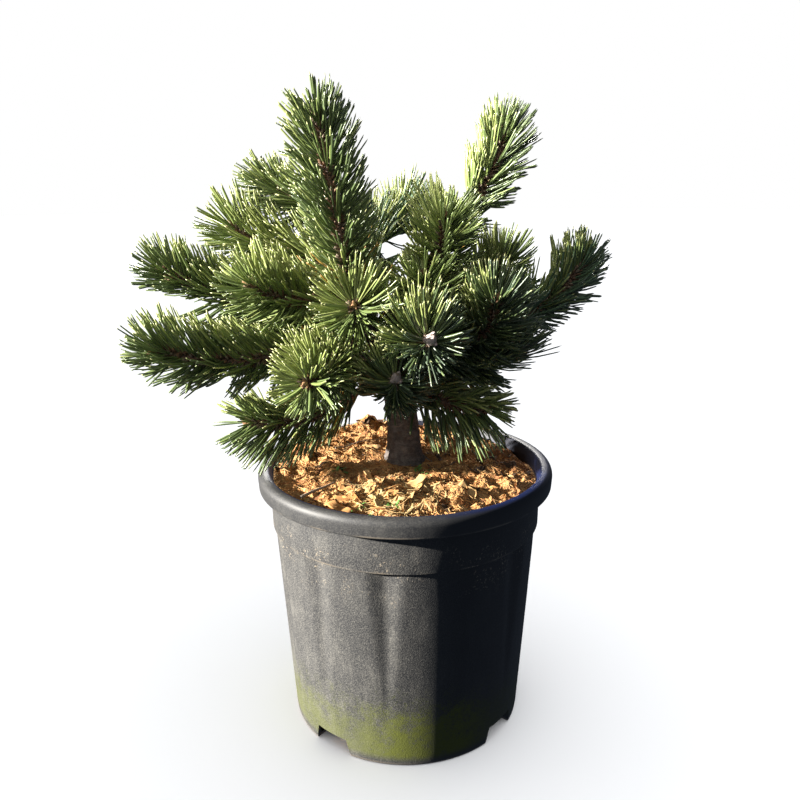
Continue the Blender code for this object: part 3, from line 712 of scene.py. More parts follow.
def plastic_finish(settings):
    """Moulded plastic, grainy on the wall, with dried soil round the collar and algae at the foot,
    and painted light: a lighter lit side, edge highlights and the sky's reflection on the rim.
    """
    made = Finish("pot_plastic", settings.plastic, 0.5, 0.5)
    x, y, height = made.split()
    fine = made.grain(1.1 * MM, 3.0, 0.6)
    broad = made.grain(26.0 * MM, 5.0, 0.6)
    runs = made.grain(7.0 * MM, 4.0, 0.6, place=made.squeezed(0.16))
    # scuffs: more on the wall than on the rim; painted light: the pale scuffed grey fades out
    # towards the shaded side (+X), so the side where the key light falls reads lighter
    on_wall = made.rise(height, POT_HEIGHT - 8 * MM, POT_HEIGHT - 40 * MM)
    blotches = made.times(made.rise(broad, 0.3, 0.75), made.rise(runs, 0.25, 0.8), 0.35)
    painted_light_side = made.reckon("MAXIMUM", made.rise(x, 54 * MM, 8 * MM), 0.2)
    wear_and_painted_light = made.plus(blotches, made.rise(fine, 0.34, 0.98))
    wear_and_painted_light = made.times(wear_and_painted_light, made.plus(made.times(on_wall, 0.5), 0.5), painted_light_side)
    wear_and_painted_light = made.reckon("MINIMUM", wear_and_painted_light, 1.0)
    colour = made.mixed(wear_and_painted_light, settings.plastic, settings.scuffed)
    # painted reflection: the rim's inner edge is coloured navy for the blue sky it reflects, in a
    # broad band on the shaded side, and darker towards the back as painted shade
    radius = made.reckon("SQRT", made.plus(made.times(x, x), made.times(y, y)))
    thin = made.rise(radius, RIM_INNER + 5 * MM, RIM_INNER + 1 * MM)
    broad_band = made.rise(radius, RIM_INNER + 10.5 * MM, RIM_INNER + 6 * MM)
    painted_sky_share = made.reckon("MAXIMUM", made.times(broad_band, made.rise(x, 5 * MM, 75 * MM)), thin)
    on_rim = made.rise(height, POT_HEIGHT - 24 * MM, POT_HEIGHT - 10 * MM)
    painted_sky = made.mixed(made.rise(y, 0.0, 60 * MM), PAINTED_SKY_NEAR, PAINTED_SKY_FAR)
    colour = made.mixed(made.times(painted_sky_share, on_rim, 0.96), colour, painted_sky)
    # painted highlight: patchy pale lines under the rim and round the collar's foot, in the dust
    # colour, stand in for the glint on those rounded edges
    painted_edge_highlight = made.times(made.rise(made.grain(30.0 * MM, 3.0), 0.4, 0.65), 0.3)
    for level in (UNDER_RIM + 1.4 * MM, UNDER_COLLAR + 1.0 * MM):
        line = made.band(height, level - 1.4 * MM, level, level, level + 1.4 * MM)
        colour = made.mixed(made.times(line, painted_edge_highlight), colour, settings.dust_and_edge_highlight)
    # dried soil under the collar and along its lower edge
    edge = UNDER_COLLAR
    near_edge = made.band(height, edge - 46 * MM, edge - 2 * MM, edge + 2 * MM, edge + 30 * MM)
    specks = made.rise(made.grain(2.4 * MM, 4.0, 0.7), 0.56, 0.66)
    patches = made.rise(made.grain(19.0 * MM, 2.0), 0.48, 0.60)
    dusty = made.times(specks, patches, near_edge)
    colour = made.mixed(dusty, colour, settings.dust_and_edge_highlight)
    # algae in fine specks, thickest low down and on one side; painted shade: they are left out
    # towards the shaded side (+X), so the foot there stays dark
    low = made.rise(height, settings.algae_height, 16 * MM)
    gathered = made.times(made.reckon("SUBTRACT", made.grain(17.0 * MM, 6.0, 0.78), 0.5), 1.7)
    level = made.rise(made.plus(low, gathered), 0.05, 1.25)
    spots = made.plus(made.grain(1.5 * MM, 3.0, 0.8), made.times(level, 0.36))
    damp_side = made.plus(made.times(made.rise(x, -60 * MM, 10 * MM), 0.6), 0.5)
    painted_shade_side = made.reckon("SUBTRACT", 1.0, made.times(made.rise(x, 40 * MM, 95 * MM), 0.7))
    off_foot = made.rise(height, 3 * MM, 14 * MM)
    green = made.times(made.rise(spots, 0.54, 0.78), level, damp_side, off_foot, painted_shade_side)
    colour = made.mixed(made.reckon("MINIMUM", green, 0.9), colour, settings.algae)
    # pale scraped line round the foot
    foot = made.times(made.rise(height, 4.0 * MM, 1.0 * MM), 0.35)
    made.tint(made.mixed(foot, colour, settings.dust_and_edge_highlight))
    dull = made.times(made.reckon("MAXIMUM", wear_and_painted_light, green), 0.2)
    rough = made.plus(made.times(on_wall, 0.04), 0.54, dull)
    made.feed(made.sockets["Roughness"], rough)
    bumps = made.times(fine, made.plus(on_wall, 0.25))
    made.relief(made.plus(bumps, made.times(dusty, 0.6)), 0.35 * MM)
    return made.material


def mulch_finish(settings):
    """Dry orange husk on the lumps and damp dark compost between, with painted light paling the
    husk towards -X.
    """
    made = Finish("mulch_bed", settings.bright, 0.95, 0.15)
    fine = made.grain(1.6 * MM, 5.0, 0.7)
    lumps = made.plus(made.grain(7.0 * MM, 6.0, 0.65), made.times(fine, 0.5))
    dry = made.rise(lumps, 0.58, 0.90)
    # painted light: the husk is paler towards -X, where the key light falls
    painted_light_on_husk = made.rise(made.split()[0], -10 * MM, -80 * MM)
    colour = made.mixed(dry, settings.dark, settings.bright)
    made.tint(made.mixed(made.times(painted_light_on_husk, dry), colour, settings.paler))
    made.relief(fine, 1.2 * MM)
    return made.material


def bark_finish(name, dark, light, size, depth, squeeze=1.0):
    """Bark: light plates and dark furrows, drawn out round the limb by squeeze."""
    made = Finish(name, light, 0.66, 0.4, squeeze)
    plates = made.grain(size, 6.0, 0.65, 0.4)
    fine = made.grain(size * 0.22, 4.0, 0.7)
    share = made.rise(made.plus(plates, made.times(fine, 0.4)), 0.5, 0.95)
    made.tint(made.mixed(share, dark, light))
    made.relief(share, depth)
    return made.material


# ---- pot -------------------------------------------------------------------------------------
def wall_radius(height):
    return BASE_RADIUS + (WALL_TOP_RADIUS - BASE_RADIUS) * (height / UNDER_COLLAR)


def arc(radius, height, width, rise, begin, end, steps):
    """Points on a round in the pot's section, from its centre, sizes and angles in degrees."""
    angles = [radians(begin + (end - begin) * step / steps) for step in range(steps + 1)]
    return [(radius + width * cos(angle), height + rise * sin(angle)) for angle in angles]


def pot_section(wall):
    """The pot's section from the middle of its underside, up outside and down inside."""
    rise_by = (UNDER_COLLAR - 1.0 * MM - 2.0 * BASE_ROUND) / WALL_RINGS
    heights = [2.0 * BASE_ROUND + rise_by * ring for ring in range(WALL_RINGS + 1)]
    foot = BASE_RADIUS - BASE_ROUND
    return [
        (foot - 6.0 * MM, 0.0),
        *arc(foot, BASE_ROUND, BASE_ROUND, BASE_ROUND, -90, 0, 4),
        *((wall_radius(height), height) for height in heights),
        (WALL_TOP_RADIUS + 0.1 * MM, UNDER_COLLAR),
        *arc(
            COLLAR_RADIUS - COLLAR_ROUND, UNDER_COLLAR + COLLAR_ROUND, COLLAR_ROUND, COLLAR_ROUND,
            -80, 0, 3,
        ),
        (COLLAR_RADIUS + 0.25 * MM, 0.5 * (UNDER_RIM + UNDER_COLLAR)),
        (COLLAR_RADIUS + 0.5 * MM, UNDER_RIM + 0.2 * MM),
        *arc(RIM_RADIUS - 2.2 * MM, UNDER_RIM + LIP_ROUND, LIP_ROUND, LIP_ROUND, -90, 0, 3),
        *arc(
            RIM_RADIUS - CROWN_WIDTH, POT_HEIGHT - CROWN_HEIGHT, CROWN_WIDTH, CROWN_HEIGHT,
            0, 90, 7,
        ),
        *arc(
            RIM_INNER + INNER_ROUND, POT_HEIGHT - 2.8 * MM, INNER_ROUND, INNER_ROUND, 90, 180, 4
        ),
        (COLLAR_RADIUS - wall, POT_HEIGHT - 9.0 * MM),
        (COLLAR_RADIUS - wall - 0.4 * MM, UNDER_COLLAR + 3.0 * MM),
        (WALL_TOP_RADIUS - wall, UNDER_COLLAR - 1.0 * MM),
        *((wall_radius(height) - wall, height) for height in reversed(heights[1:-1:3])),
        (BASE_RADIUS - wall - 3.0 * MM, FLOOR),
    ]


def turn_section(name, section, sides):
    """A turned shape: a disc at the section's first point, then one ring extruded, raised and
    resized for each point after it. The last disc closes it."""
    radius, height = section[0]
    deselect()
    bpy.ops.mesh.primitive_circle_add(
        vertices=sides, radius=radius, fill_type="NGON", location=(0.0, 0.0, height)
    )
    obj = bpy.context.active_object
    obj.name = name
    bpy.ops.object.transform_apply(location=True, rotation=True, scale=True)
    edit(obj)
    bpy.ops.mesh.select_all(action="SELECT")
    for next_radius, next_height in section[1:]:
        lift = (0.0, 0.0, next_height - height)
        bpy.ops.mesh.extrude_region_move(TRANSFORM_OT_translate={"value": lift})
        size = next_radius / radius
        bpy.ops.transform.resize(value=(size, size, 1.0), center_override=(0.0, 0.0, next_height))
        radius, height = next_radius, next_height
    bpy.ops.mesh.select_all(action="SELECT")
    bpy.ops.mesh.remove_doubles(threshold=0.01 * MM)
    bpy.ops.mesh.normals_make_consistent(inside=False)
    leave_edit()
    return obj


def press_flutes(mesh, depth):
    """Presses in a rounded V at each flute, wide under the collar and run out near the foot."""
    places = places_of(mesh)
    radius = from_middle(places)
    bearing = np.arctan2(places[:, 1], places[:, 0]) - FLUTE_BEARING
    period = 2.0 * pi / FLUTES
    off = np.abs((bearing + period / 2) % period - period / 2)
    share = np.clip((places[:, 2] - FLUTE_FOOT) / (UNDER_COLLAR - FLUTE_FOOT), 0.0, 1.0)
    half = FLUTE_FOOT_HALF + (FLUTE_HALF - FLUTE_FOOT_HALF) * share
    slope = 1.0 - np.sqrt((off / half) ** 2 + FLUTE_SOFT**2)
    pressed = depth * share * np.clip(slope / (1.0 - FLUTE_SOFT), 0.0, 1.0)
    pressed *= (places[:, 2] < UNDER_COLLAR) & (radius > 0.8 * BASE_RADIUS)
    places[:, :2] *= ((radius - pressed) / np.maximum(radius, 1e-9))[:, None]
    move_to(mesh, places)


def notch_cutter(index):
    """A wedge across the foot of the wall for one drain notch, narrower at its top."""
    low = -NOTCH_DEPTH
    deselect()
    bpy.ops.mesh.primitive_cube_add(
        size=1.0, location=(BASE_RADIUS, 0.0, 0.5 * (NOTCH_HEIGHT + low))
    )
    cutter = bpy.context.active_object
    cutter.scale = (2.0 * NOTCH_DEPTH, NOTCH_FOOT_WIDTH, NOTCH_HEIGHT - low)
    bpy.ops.object.transform_apply(location=True, rotation=True, scale=True)
    edit(cutter)
    bpy.ops.mesh.select_all(action="DESELECT")
    leave_edit()
    for vertex in cutter.data.vertices:
        vertex.select = vertex.co.z > 0.0
    edit(cutter)
    bpy.ops.transform.resize(
        value=(1.0, NOTCH_TOP_WIDTH / NOTCH_FOOT_WIDTH, 1.0),
        center_override=(BASE_RADIUS, 0.0, NOTCH_HEIGHT),
    )
    leave_edit()
    bearing = NOTCH_BEARING + index * 2.0 * pi / NOTCHES
    cutter.data.transform(Matrix.Rotation(bearing, 4, "Z"))
    return cutter


def make_pot(settings):
    """The turned pot, its flutes pressed in and its drain notches cut out."""
    pot = turn_section("nursery_pot", pot_section(settings.wall), POT_SIDES)
    pot.data.transform(Matrix.Rotation(FLUTE_BEARING, 4, "Z"))
    press_flutes(pot.data, settings.flute_depth)
    cutters = [notch_cutter(index) for index in range(NOTCHES)]
    for cutter in cutters:
        cut = pot.modifiers.new("drain_notch", "BOOLEAN")
        cut.operation = "DIFFERENCE"
        cut.object = cutter
    apply_all(pot)
    for cutter in cutters:
        bpy.data.objects.remove(cutter)
    smooth_to(pot, 38.0)
    cover(pot, plastic_finish(settings))
    settle(pot, ["pot"])


class MESH_OT_pine_pot(Operator):
    """Adds the fluted nursery pot with its rolled rim, collar and drain notches"""

    bl_idname = "mesh.pine_pot"
    bl_label = "Nursery Pot"

    def execute(self, context):
        make_pot(context.scene.pine_pot)
        return {"FINISHED"}


# ---- mulch -----------------------------------------------------------------------------------
def soil_height(places):
    """The mulch's level: lower at the wall than round the trunk, and heaped at the back."""
    x, y = places[:, 0], places[:, 1]
    share = np.minimum(np.hypot(x, y) / COLLAR_RADIUS, 1.0)
    level = SOIL_TOP + (SOIL_EDGE - SOIL_TOP) * share**3
    backward = x * cos(HEAP_BEARING) + y * sin(HEAP_BEARING)
    return level + SOIL_HEAP * np.maximum(backward / COLLAR_RADIUS, 0.0)


def bed_height(places, lump):
    """The mulch's level with its clods: round tops with creases between, flat at the trunk."""
    level = soil_height(places)
    banked = places[:, 0] * cos(BANK_BEARING) + places[:, 1] * sin(BANK_BEARING)
    level += BANK * np.clip(banked / COLLAR_RADIUS, 0.0, 1.0)
    level += PEAK_HEIGHT * near(places, PEAK, PEAK_RADIUS)
    rough = np.full(len(places), -0.42)
    for index, (size, share) in enumerate(CLODS):
        rough += share * np.abs(noise_at(places * (1.0, 1.0, 0.0), size, 31.7 * (index + 1)))
    from_seat = from_middle(places, SEAT_CENTRE)
    calm = np.clip((from_seat - 0.7 * SEAT_RADIUS) / SEAT_RADIUS, 0.12, 1.0)
    from_wall = MULCH_EDGE - from_middle(places)
    calm *= np.clip(from_wall / (14.0 * MM), 0.35, 1.0)
    return level + lump * rough * calm


def make_bed(settings):
    """A fine square grid laid over the round of the pot, with sides and an underside."""
    deselect()
    bpy.ops.mesh.primitive_grid_add(
        x_subdivisions=MULCH_CELLS, y_subdivisions=MULCH_CELLS, size=2.0
    )
    bed = bpy.context.active_object
    bed.name = "mulch_bed"
    places = places_of(bed.data)
    x, y = places[:, 0].copy(), places[:, 1].copy()
    # each square ring of the grid becomes a round one
    places[:, 0] = x * np.sqrt(1.0 - 0.5 * y * y)
    places[:, 1] = y * np.sqrt(1.0 - 0.5 * x * x)
    places *= MULCH_EDGE
    places[:, 2] = bed_height(places, settings.lump)
    move_to(bed.data, places)
    edit(bed)
    bpy.ops.mesh.select_all(action="DESELECT")
    bpy.ops.mesh.select_non_manifold()
    radius = MULCH_EDGE
    inside_notches = BASE_RADIUS - NOTCH_DEPTH - 4.0 * MM
    for next_radius, height in (
        (MULCH_EDGE - 0.8 * MM, UNDER_COLLAR + 6.0 * MM),
        (WALL_TOP_RADIUS - 8.0 * MM, UNDER_COLLAR),
        (BASE_RADIUS - 6.0 * MM, 24.0 * MM),
        (inside_notches, 20.0 * MM),
        (inside_notches, FLOOR + 1.0 * MM),
    ):
        bpy.ops.mesh.extrude_region_move()
        size = next_radius / radius
        bpy.ops.transform.resize(value=(size, size, 0.0), center_override=(0.0, 0.0, height))
        radius = next_radius
    bpy.ops.mesh.edge_face_add()
    bpy.ops.mesh.select_all(action="SELECT")
    bpy.ops.mesh.normals_make_consistent(inside=False)
    leave_edit()
    smooth_to(bed, 60.0)
    cover(bed, mulch_finish(settings))
    settle(bed, ["compost"])


def scatter(rng, count):
    """Places on the pot's round, evenly spread and clear of the trunk."""
    bearing = rng.uniform(0.0, 2.0 * pi, count)
    radius = MULCH_EDGE * 0.97 * np.sqrt(rng.uniform(0.0, 1.0, count))
    places = flat_circle(bearing, radius)
    return places[from_middle(places, SEAT_CENTRE) > TRUNK[0][1] * MM + 1.0 * MM]


def gather(rng, count, patch, reach):
    """Places that crowd round a patch's middle."""
    places = np.array(patch) + rng.normal(0.0, 0.5 * reach, (count, 3)) * (1.0, 0.7, 0.0)
    return places[from_middle(places) < MULCH_EDGE - 6.0 * MM]


def near(places, patch, radius):
    """1 at a patch's middle, falling to 0 at its radius."""
    return np.clip(1.0 - from_middle(places, patch) / radius, 0.0, 1.0)


def lay(rng, places, rings, lengths, curl, arch, cling, lift, lump):
    """Centre lines through the places that curl aside and arch, partly clinging to the bed, and
    the way their width lies."""
    count = len(places)
    heading = flat_circle(rng.uniform(0.0, 2.0 * pi, count))
    aside = np.stack([-heading[:, 1], heading[:, 0], heading[:, 2]], axis=1)
    spread = np.linspace(-0.5, 0.5, rings)
    wave = lengths[:, None] * (spread**2 - 0.08)
    turn = rng.uniform(-curl, curl, count)[:, None]
    wriggle = rng.normal(0.0, 0.05, (count, rings)) * min(curl, 1.0)
    lines = places[:, None, :] + heading[:, None, :] * (lengths[:, None] * spread)[..., None]
    lines += aside[:, None, :] * (wave * turn + wriggle * lengths[:, None])[..., None]
    factor = np.minimum(1.0, (MULCH_EDGE - 1.2 * MM) / np.maximum(from_middle(lines), 1e-9))
    lines[..., :2] *= factor[..., None]
    ground = bed_height(lines.reshape(-1, 3), lump).reshape(count, rings)
    middle = ground.mean(axis=1, keepdims=True)
    tilt = rng.normal(0.0, 0.3, count)[:, None] * lengths[:, None] * spread
    rise_up = wave * rng.uniform(-0.3 * arch, arch, count)[:, None] + tilt
    free = np.maximum(middle + rise_up, ground - 0.6 * MM)
    lines[..., 2] = cling * ground + (1.0 - cling) * free + lift * MM
    return lines, aside


def strew(name, *form):
    """A sweep that lies on the compost."""
    made = sweep(name, *form)
    settle(made)
    return made


def husk_kinds(rng, places):
    """Which finish each bit of husk has: dark in the damp patch at the wall and in the painted
    shadow beside the trunk, pale in the straw.
    """
    draw = rng.uniform(0.0, 1.0, len(places))
    # the damp patch at the wall, and the painted shadow beside the trunk
    damp = np.maximum(near(places, DARK_PATCH, PATCH_RADIUS), near(places, TRUNK_SHADOW_PATCH, 26 * MM))
    straw = near(places, STRAW_PATCH, PATCH_RADIUS)
    chances = [draw < 1.5 * damp, draw > 1.0 - 0.5 * straw, draw < 0.42, draw < 0.68, draw < 0.86]
    return np.select(chances, [3, 4, 0, 1, 2], 3)


def make_husk(name, husk, lump, count, rng):
    """One kind of loose husk; the chips lie in the straw and at places of their own."""
    if name == "chips":
        places = gather(rng, count, STRAW_PATCH, PATCH_RADIUS)
        places = np.concatenate([places, np.array(CHIPS) * MM])
    else:
        places = scatter(rng, count)
    count = len(places)
    lengths = rng.uniform(*husk.length, count) * MM
    lines, aside = lay(
        rng, places, husk.rings, lengths, husk.curl, husk.arch, husk.cling, husk.lift, lump
    )
    across = between(aside, np.array((0.0, 0.0, 1.0)), rng.normal(0.0, 0.6, count))
    ragged = rng.uniform(0.6, 1.0, (count, husk.rings))
    ragged[:, 0] *= 0.35
    ragged[:, -1] *= 0.25
    widths = ragged * (rng.uniform(*husk.half, count)[:, None] * MM)
    kinds = husk_kinds(rng, places)
    depths = husk.flat * widths
    made = strew(
        "mulch_" + name, lines, across, widths, depths, husk.outline, kinds, HUSK_FINISHES
    )
    made.data.shade_smooth()


def make_fibres(count, lump, rng):
    """Fine threads that mat the clods."""
    places = scatter(rng, count)
    count = len(places)
    lengths = rng.uniform(*FIBRE_LENGTHS, count) * MM
    lines, aside = lay(rng, places, FIBRE_RINGS, lengths, 2.4, 1.4, 0.8, 0.45, lump)
    straw = near(places, STRAW_PATCH, PATCH_RADIUS)
    widths = rng.uniform(*FIBRE_HALVES, count)[:, None] * MM * (1.0 + 1.2 * straw[:, None])
    widths = widths * np.array(FIBRE_TAPER)
    draw = rng.uniform(0.0, 1.0, count)
    damp = near(places, DARK_PATCH, PATCH_RADIUS)
    chances = [draw < damp, draw < 0.75 * straw, draw < 0.5, draw < 0.8]
    kinds = np.select(chances, [2, 4, 1, 0], 2)
    strew("mulch_fibres", lines, aside, widths, widths, FIBRE_OUTLINE, kinds, HUSK_FINISHES)


def make_straws(count, lump, rng):
    """Flat pale straws at the front."""
    bearing = rng.uniform(0.0, 2.0 * pi, count)
    radius = 0.95 * PATCH_RADIUS * np.sqrt(rng.uniform(0.0, 1.0, count))
    flat = [radius * np.cos(bearing), 0.6 * radius * np.sin(bearing), 0.0 * radius]
    places = np.stack(flat, axis=1) + np.array(STRAW_PATCH)
    lengths = rng.uniform(*STRAW_LENGTHS, count) * MM
    lines, aside = lay(rng, places, FIBRE_RINGS, lengths, 1.2, 0.9, 0.55, 2.0, lump)
    widths = rng.uniform(*STRAW_HALVES, count)[:, None] * MM
    widths = widths * np.array(STRAW_TAPER)
    kinds = (rng.uniform(0.0, 1.0, count) < 0.25).astype(int)
    finishes = ("shred_straw", "shred_tan")
    strew("mulch_straws", lines, aside, widths, widths * 0.5, BLADE_OUTLINE, kinds, finishes)


def make_sticks(lump, rng):
    """A few loose sticks across the clods."""
    ends = np.array([[(*begin, 0.0), (*end, 0.0)] for begin, end, _ in STICKS]) * MM
    shares = np.linspace(0.0, 1.0, FIBRE_RINGS)[None, :, None]
    lines = ends[:, None, 0] * (1.0 - shares) + ends[:, None, 1] * shares
    lines += rng.normal(0.0, 0.5, lines.shape) * MM
    lines[..., 2] = bed_height(lines.reshape(-1, 3), lump).reshape(len(lines), -1)
    lines[..., 2] = 0.3 * lines[..., 2] + 0.7 * lines[..., 2].max(axis=1, keepdims=True) + 0.8 * MM
    aside = np.cross(lines[:, -1] - lines[:, 0], (0.0, 0.0, 1.0))
    widths = np.array([[radius] for _, _, radius in STICKS]) * MM
    widths = widths * np.linspace(1.0, 0.5, FIBRE_RINGS)
    kinds = np.zeros(len(lines))
    strew("mulch_sticks", lines, aside, widths, widths, STICK_OUTLINE, kinds, ["stick_grey"])


def make_sprigs(lump, rng):
    """Small green weeds: a few blades from each of some places."""
    spread = [rng.normal(0.0, SPRIG_SPREAD, (SPRIG_BLADES, 2)) + place for place in SPRIGS]
    flat = np.concatenate(spread) * MM
    places = np.column_stack([flat, np.zeros(len(flat))])
    places[:, 2] = bed_height(places, lump) + 1.0 * MM
    count = len(places)
    heading = flat_circle(rng.uniform(0.0, 2.0 * pi, count))
    heading[:, 2] = rng.uniform(0.3, 1.3, count)
    heading = unit(heading)
    shares = np.array(NEEDLE_SHARES)
    lengths = rng.uniform(*SPRIG_LENGTHS, count) * MM
    lines = places[:, None, :] + heading[:, None, :] * (lengths[:, None] * shares)[..., None]
    lines[..., 2] -= 0.35 * (lengths[:, None] * shares**2)
    aside = unit(np.cross(heading, (0.0, 0.0, 1.0)))
    widths = np.full((count, len(shares)), 1.0 * MM) * SPRIG_WIDTHS
    kinds = np.zeros(count)
    strew(
        "green_sprigs", lines, aside, widths, widths * 0.3, NEEDLE_OUTLINE, kinds, ["sprig_green"],
        True,
    )


class MESH_OT_pine_mulch(Operator):
    """Adds the compost with its bed of shredded husk, loose strands and small weeds"""

    bl_idname = "mesh.pine_mulch"
    bl_label = "Mulch"

    def execute(self, context):
        settings = context.scene.pine_mulch
        lump = settings.lump
        rng = np.random.default_rng(SEED)
        make_bed(settings)
        for name, husk in HUSKS.items():
            make_husk(name, husk, lump, int(settings.husks * husk.share), rng)
        make_fibres(settings.fibres, lump, rng)
        make_straws(settings.straws, lump, rng)
        make_sticks(lump, rng)
        make_sprigs(lump, rng)
        return {"FINISHED"}


# ---- limbs, by the rule of the solids --------------------------------------------------------
def bezier(knots, share):
    """A point on the Bezier curve of three or four knots."""
    while len(knots) > 1:
        knots = [a.lerp(b, share) for a, b in zip(knots, knots[1:])]
    return knots[0]


class Limb:
    """An axis line with radii."""

    def __init__(self, points, radii):
        self.points = points
        self.radii = radii

    def lengths(self):
        return [(b - a).length for a, b in zip(self.points, self.points[1:])]

    def length(self):
        return sum(self.lengths())

    def at(self, share):
        """Axis point and radius at a share of the limb's length."""
        lengths = self.lengths()
        left = share * sum(lengths)
        for index, length in enumerate(lengths):
            if left <= length or index == len(lengths) - 1:
                part = min(max(left / length, 0.0), 1.0)
                place = self.points[index].lerp(self.points[index + 1], part)
                radius = self.radii[index] * (1 - part) + self.radii[index + 1] * part
                return place, radius
            left -= length

    def stretch(self, begin, end, steps):
        """Points evenly along the axis, between two lengths from its start."""
        total = self.length()
        shares = [(begin + (end - begin) * step / steps) / total for step in range(steps + 1)]
        return [self.at(share)[0] for share in shares]

    def end_direction(self):
        return (self.points[-1] - self.points[-2]).normalized()


class Spans:
    """The straight spans of some limbs, to measure how near many places are to them."""

    def __init__(self, limbs):
        self.start = np.concatenate([np.array(limb.points[:-1]) for limb in limbs])
        self.along = np.concatenate([np.array(limb.points[1:]) for limb in limbs]) - self.start
        self.foot = np.concatenate([limb.radii[:-1] for limb in limbs])
        self.tip = np.concatenate([limb.radii[1:] for limb in limbs])

    def gap(self, places):
        """Distance from each place to the nearest limb's surface."""
        off = places[:, None, :] - self.start
        part = (off * self.along).sum(-1) / (self.along**2).sum(-1)
        part = np.clip(part, 0.0, 1.0)
        radius = self.foot * (1.0 - part) + self.tip * part
        off -= self.along * part[..., None]
        return (np.linalg.norm(off, axis=-1) - radius).min(axis=1)


def taper(foot, tip, count):
    return [foot + (tip - foot) * index / (count - 1) for index in range(count)]


def trunk_limb():
    points = [Vector(place) * MM for place, _ in TRUNK]
    points[0].z += CLEAR
    return Limb(points, [radius * MM for _, radius in TRUNK])


def shoot_path(name, parent):
    """A shoot's whole axis, from the axis of its parent to its tip, as a fine line."""
    shoot = SHOOTS[name]
    through, tip, bow = (Vector(v) * MM for v in (shoot.through, shoot.tip, shoot.bow))
    start, _ = parent.at(shoot.leaves_at)
    middle = (through + tip) / 2 + bow * 2
    heading = (middle - through).normalized()
    outer = [through, middle, tip]
    line = [bezier(outer, step / 12) for step in range(13)]
    reach = (through - start).length
    if reach > JOINT:
        outward = ((through - start).normalized() * 0.8 + Vector((0, 0, 0.12))).normalized()
        near_knot = start + outward * reach * 0.35
        inner = [start, near_knot, through - heading * reach * 0.33, through]
        line = [bezier(inner, step / 12) for step in range(12)] + line
    return Limb(line, [0.0] * len(line))


def split_shoot(name, parent):
    """The bare bough of a shoot, and its stem among needles."""
    path = shoot_path(name, parent)
    bare = SHOOTS[name].bare * MM
    if bare:
        cut, ahead = path.stretch(bare, bare + JOINT, 1)
        heading = (ahead - cut).normalized()
    else:
        cut = path.points[0]
        heading = parent.end_direction()
    points = [cut + heading * CLEAR, cut + heading * JOINT]
    points += path.stretch(bare + 3 * JOINT, path.length(), STEM_STEPS)
    stem = Limb(points, taper(STEM_FOOT, STEM_TIP, len(points)))
    if not bare:
        return None, stem
    points = path.stretch(0.0, bare - 2 * JOINT, BOUGH_STEPS)
    points += [cut - heading * JOINT, cut]
    return Limb(points, taper(SHOOTS[name].radius * MM, STEM_FOOT, len(points))), stem


def grow_limbs():
    """Every limb's axis: the trunk, the boughs in the order they fork, and the stems."""
    trunk = trunk_limb()
    boughs = {}
    stems = {}
    waiting = list(SHOOTS)
    while waiting:
        name = waiting.pop(0)
        carrier = SHOOTS[name].carrier
        parent = trunk if carrier == "trunk" else boughs.get(carrier)
        if not parent:
            waiting.append(name)
            continue
        bough, stems[name] = split_shoot(name, parent)
        if bough:
            boughs[name] = bough
    return trunk, boughs, stems


# ---- bark ------------------------------------------------------------------------------------
def tube(name, points, radii, sides_quarter):
    """A round limb on a smooth line through the points, as a mesh."""
    curve = bpy.data.curves.new(name, "CURVE")
    curve.dimensions = "3D"
    curve.bevel_depth = 1.0
    curve.bevel_resolution = sides_quarter
    curve.use_fill_caps = True
    curve.resolution_u = 6
    spline = curve.splines.new("BEZIER")
    spline.bezier_points.add(len(points) - 1)
    for knot, place, radius in zip(spline.bezier_points, points, radii):
        knot.co = place
        knot.radius = radius
        knot.handle_left_type = "AUTO"
        knot.handle_right_type = "AUTO"
    made = show(name, curve)
    pick(made)
    bpy.ops.object.convert(target="MESH")
    return made


def joined(objects, name):
    deselect()
    for obj in objects:
        obj.select_set(True)
    bpy.context.view_layer.objects.active = objects[0]
    bpy.ops.object.join()
    objects[0].name = name
    objects[0].data.name = name
    return objects[0]


def carve_bark(mesh, depth):
    """Moves the surface in and out: rings round the limbs, plates and fine furrows."""
    places = places_of(mesh)
    rings = noise_at(places * (1.0, 1.0, 2.6), BARK_RINGS)
    plates = noise_at(places, BARK_PLATES, 11.0)
    furrows = np.abs(noise_at(places * (1.0, 1.0, 0.4), BARK_FURROWS, 23.0))
    height = depth * (0.7 * rings + 0.4 * plates - 0.6 * furrows)
    move_to(mesh, places + read_rows(mesh.vertices, "normal") * height[:, None])


def make_bark(settings, trunk, boughs):
    """The trunk and boughs as one mesh, grown together where they fork."""
    sunk = trunk.points[0] - TRUNK_SUNK
    radii = [trunk.radii[0] * TRUNK_FLARE, *trunk.radii]
    tubes = [tube("limb", [sunk, *trunk.points], radii, 8)]
    tubes += [tube("limb", bough.points, bough.radii, 4) for bough in boughs.values()]
    bark = joined(tubes, "bark_limbs")
    remesh = bark.modifiers.new("grow_together", "REMESH")
    remesh.mode = "VOXEL"
    remesh.voxel_size = settings.voxel
    ease = bark.modifiers.new("ease_forks", "CORRECTIVE_SMOOTH")
    ease.iterations = 4
    ease.use_only_smooth = True
    apply_all(bark)
    carve_bark(bark.data, settings.relief)
    pick(bark)
    bpy.ops.object.shade_smooth()
    finish = bark_finish("trunk_bark", settings.dark, settings.light, 7.0 * MM, 0.4 * MM, 1.8)
    cover(bark, finish)
    settle(bark, ["trunk", *("bough_" + name for name in boughs)])


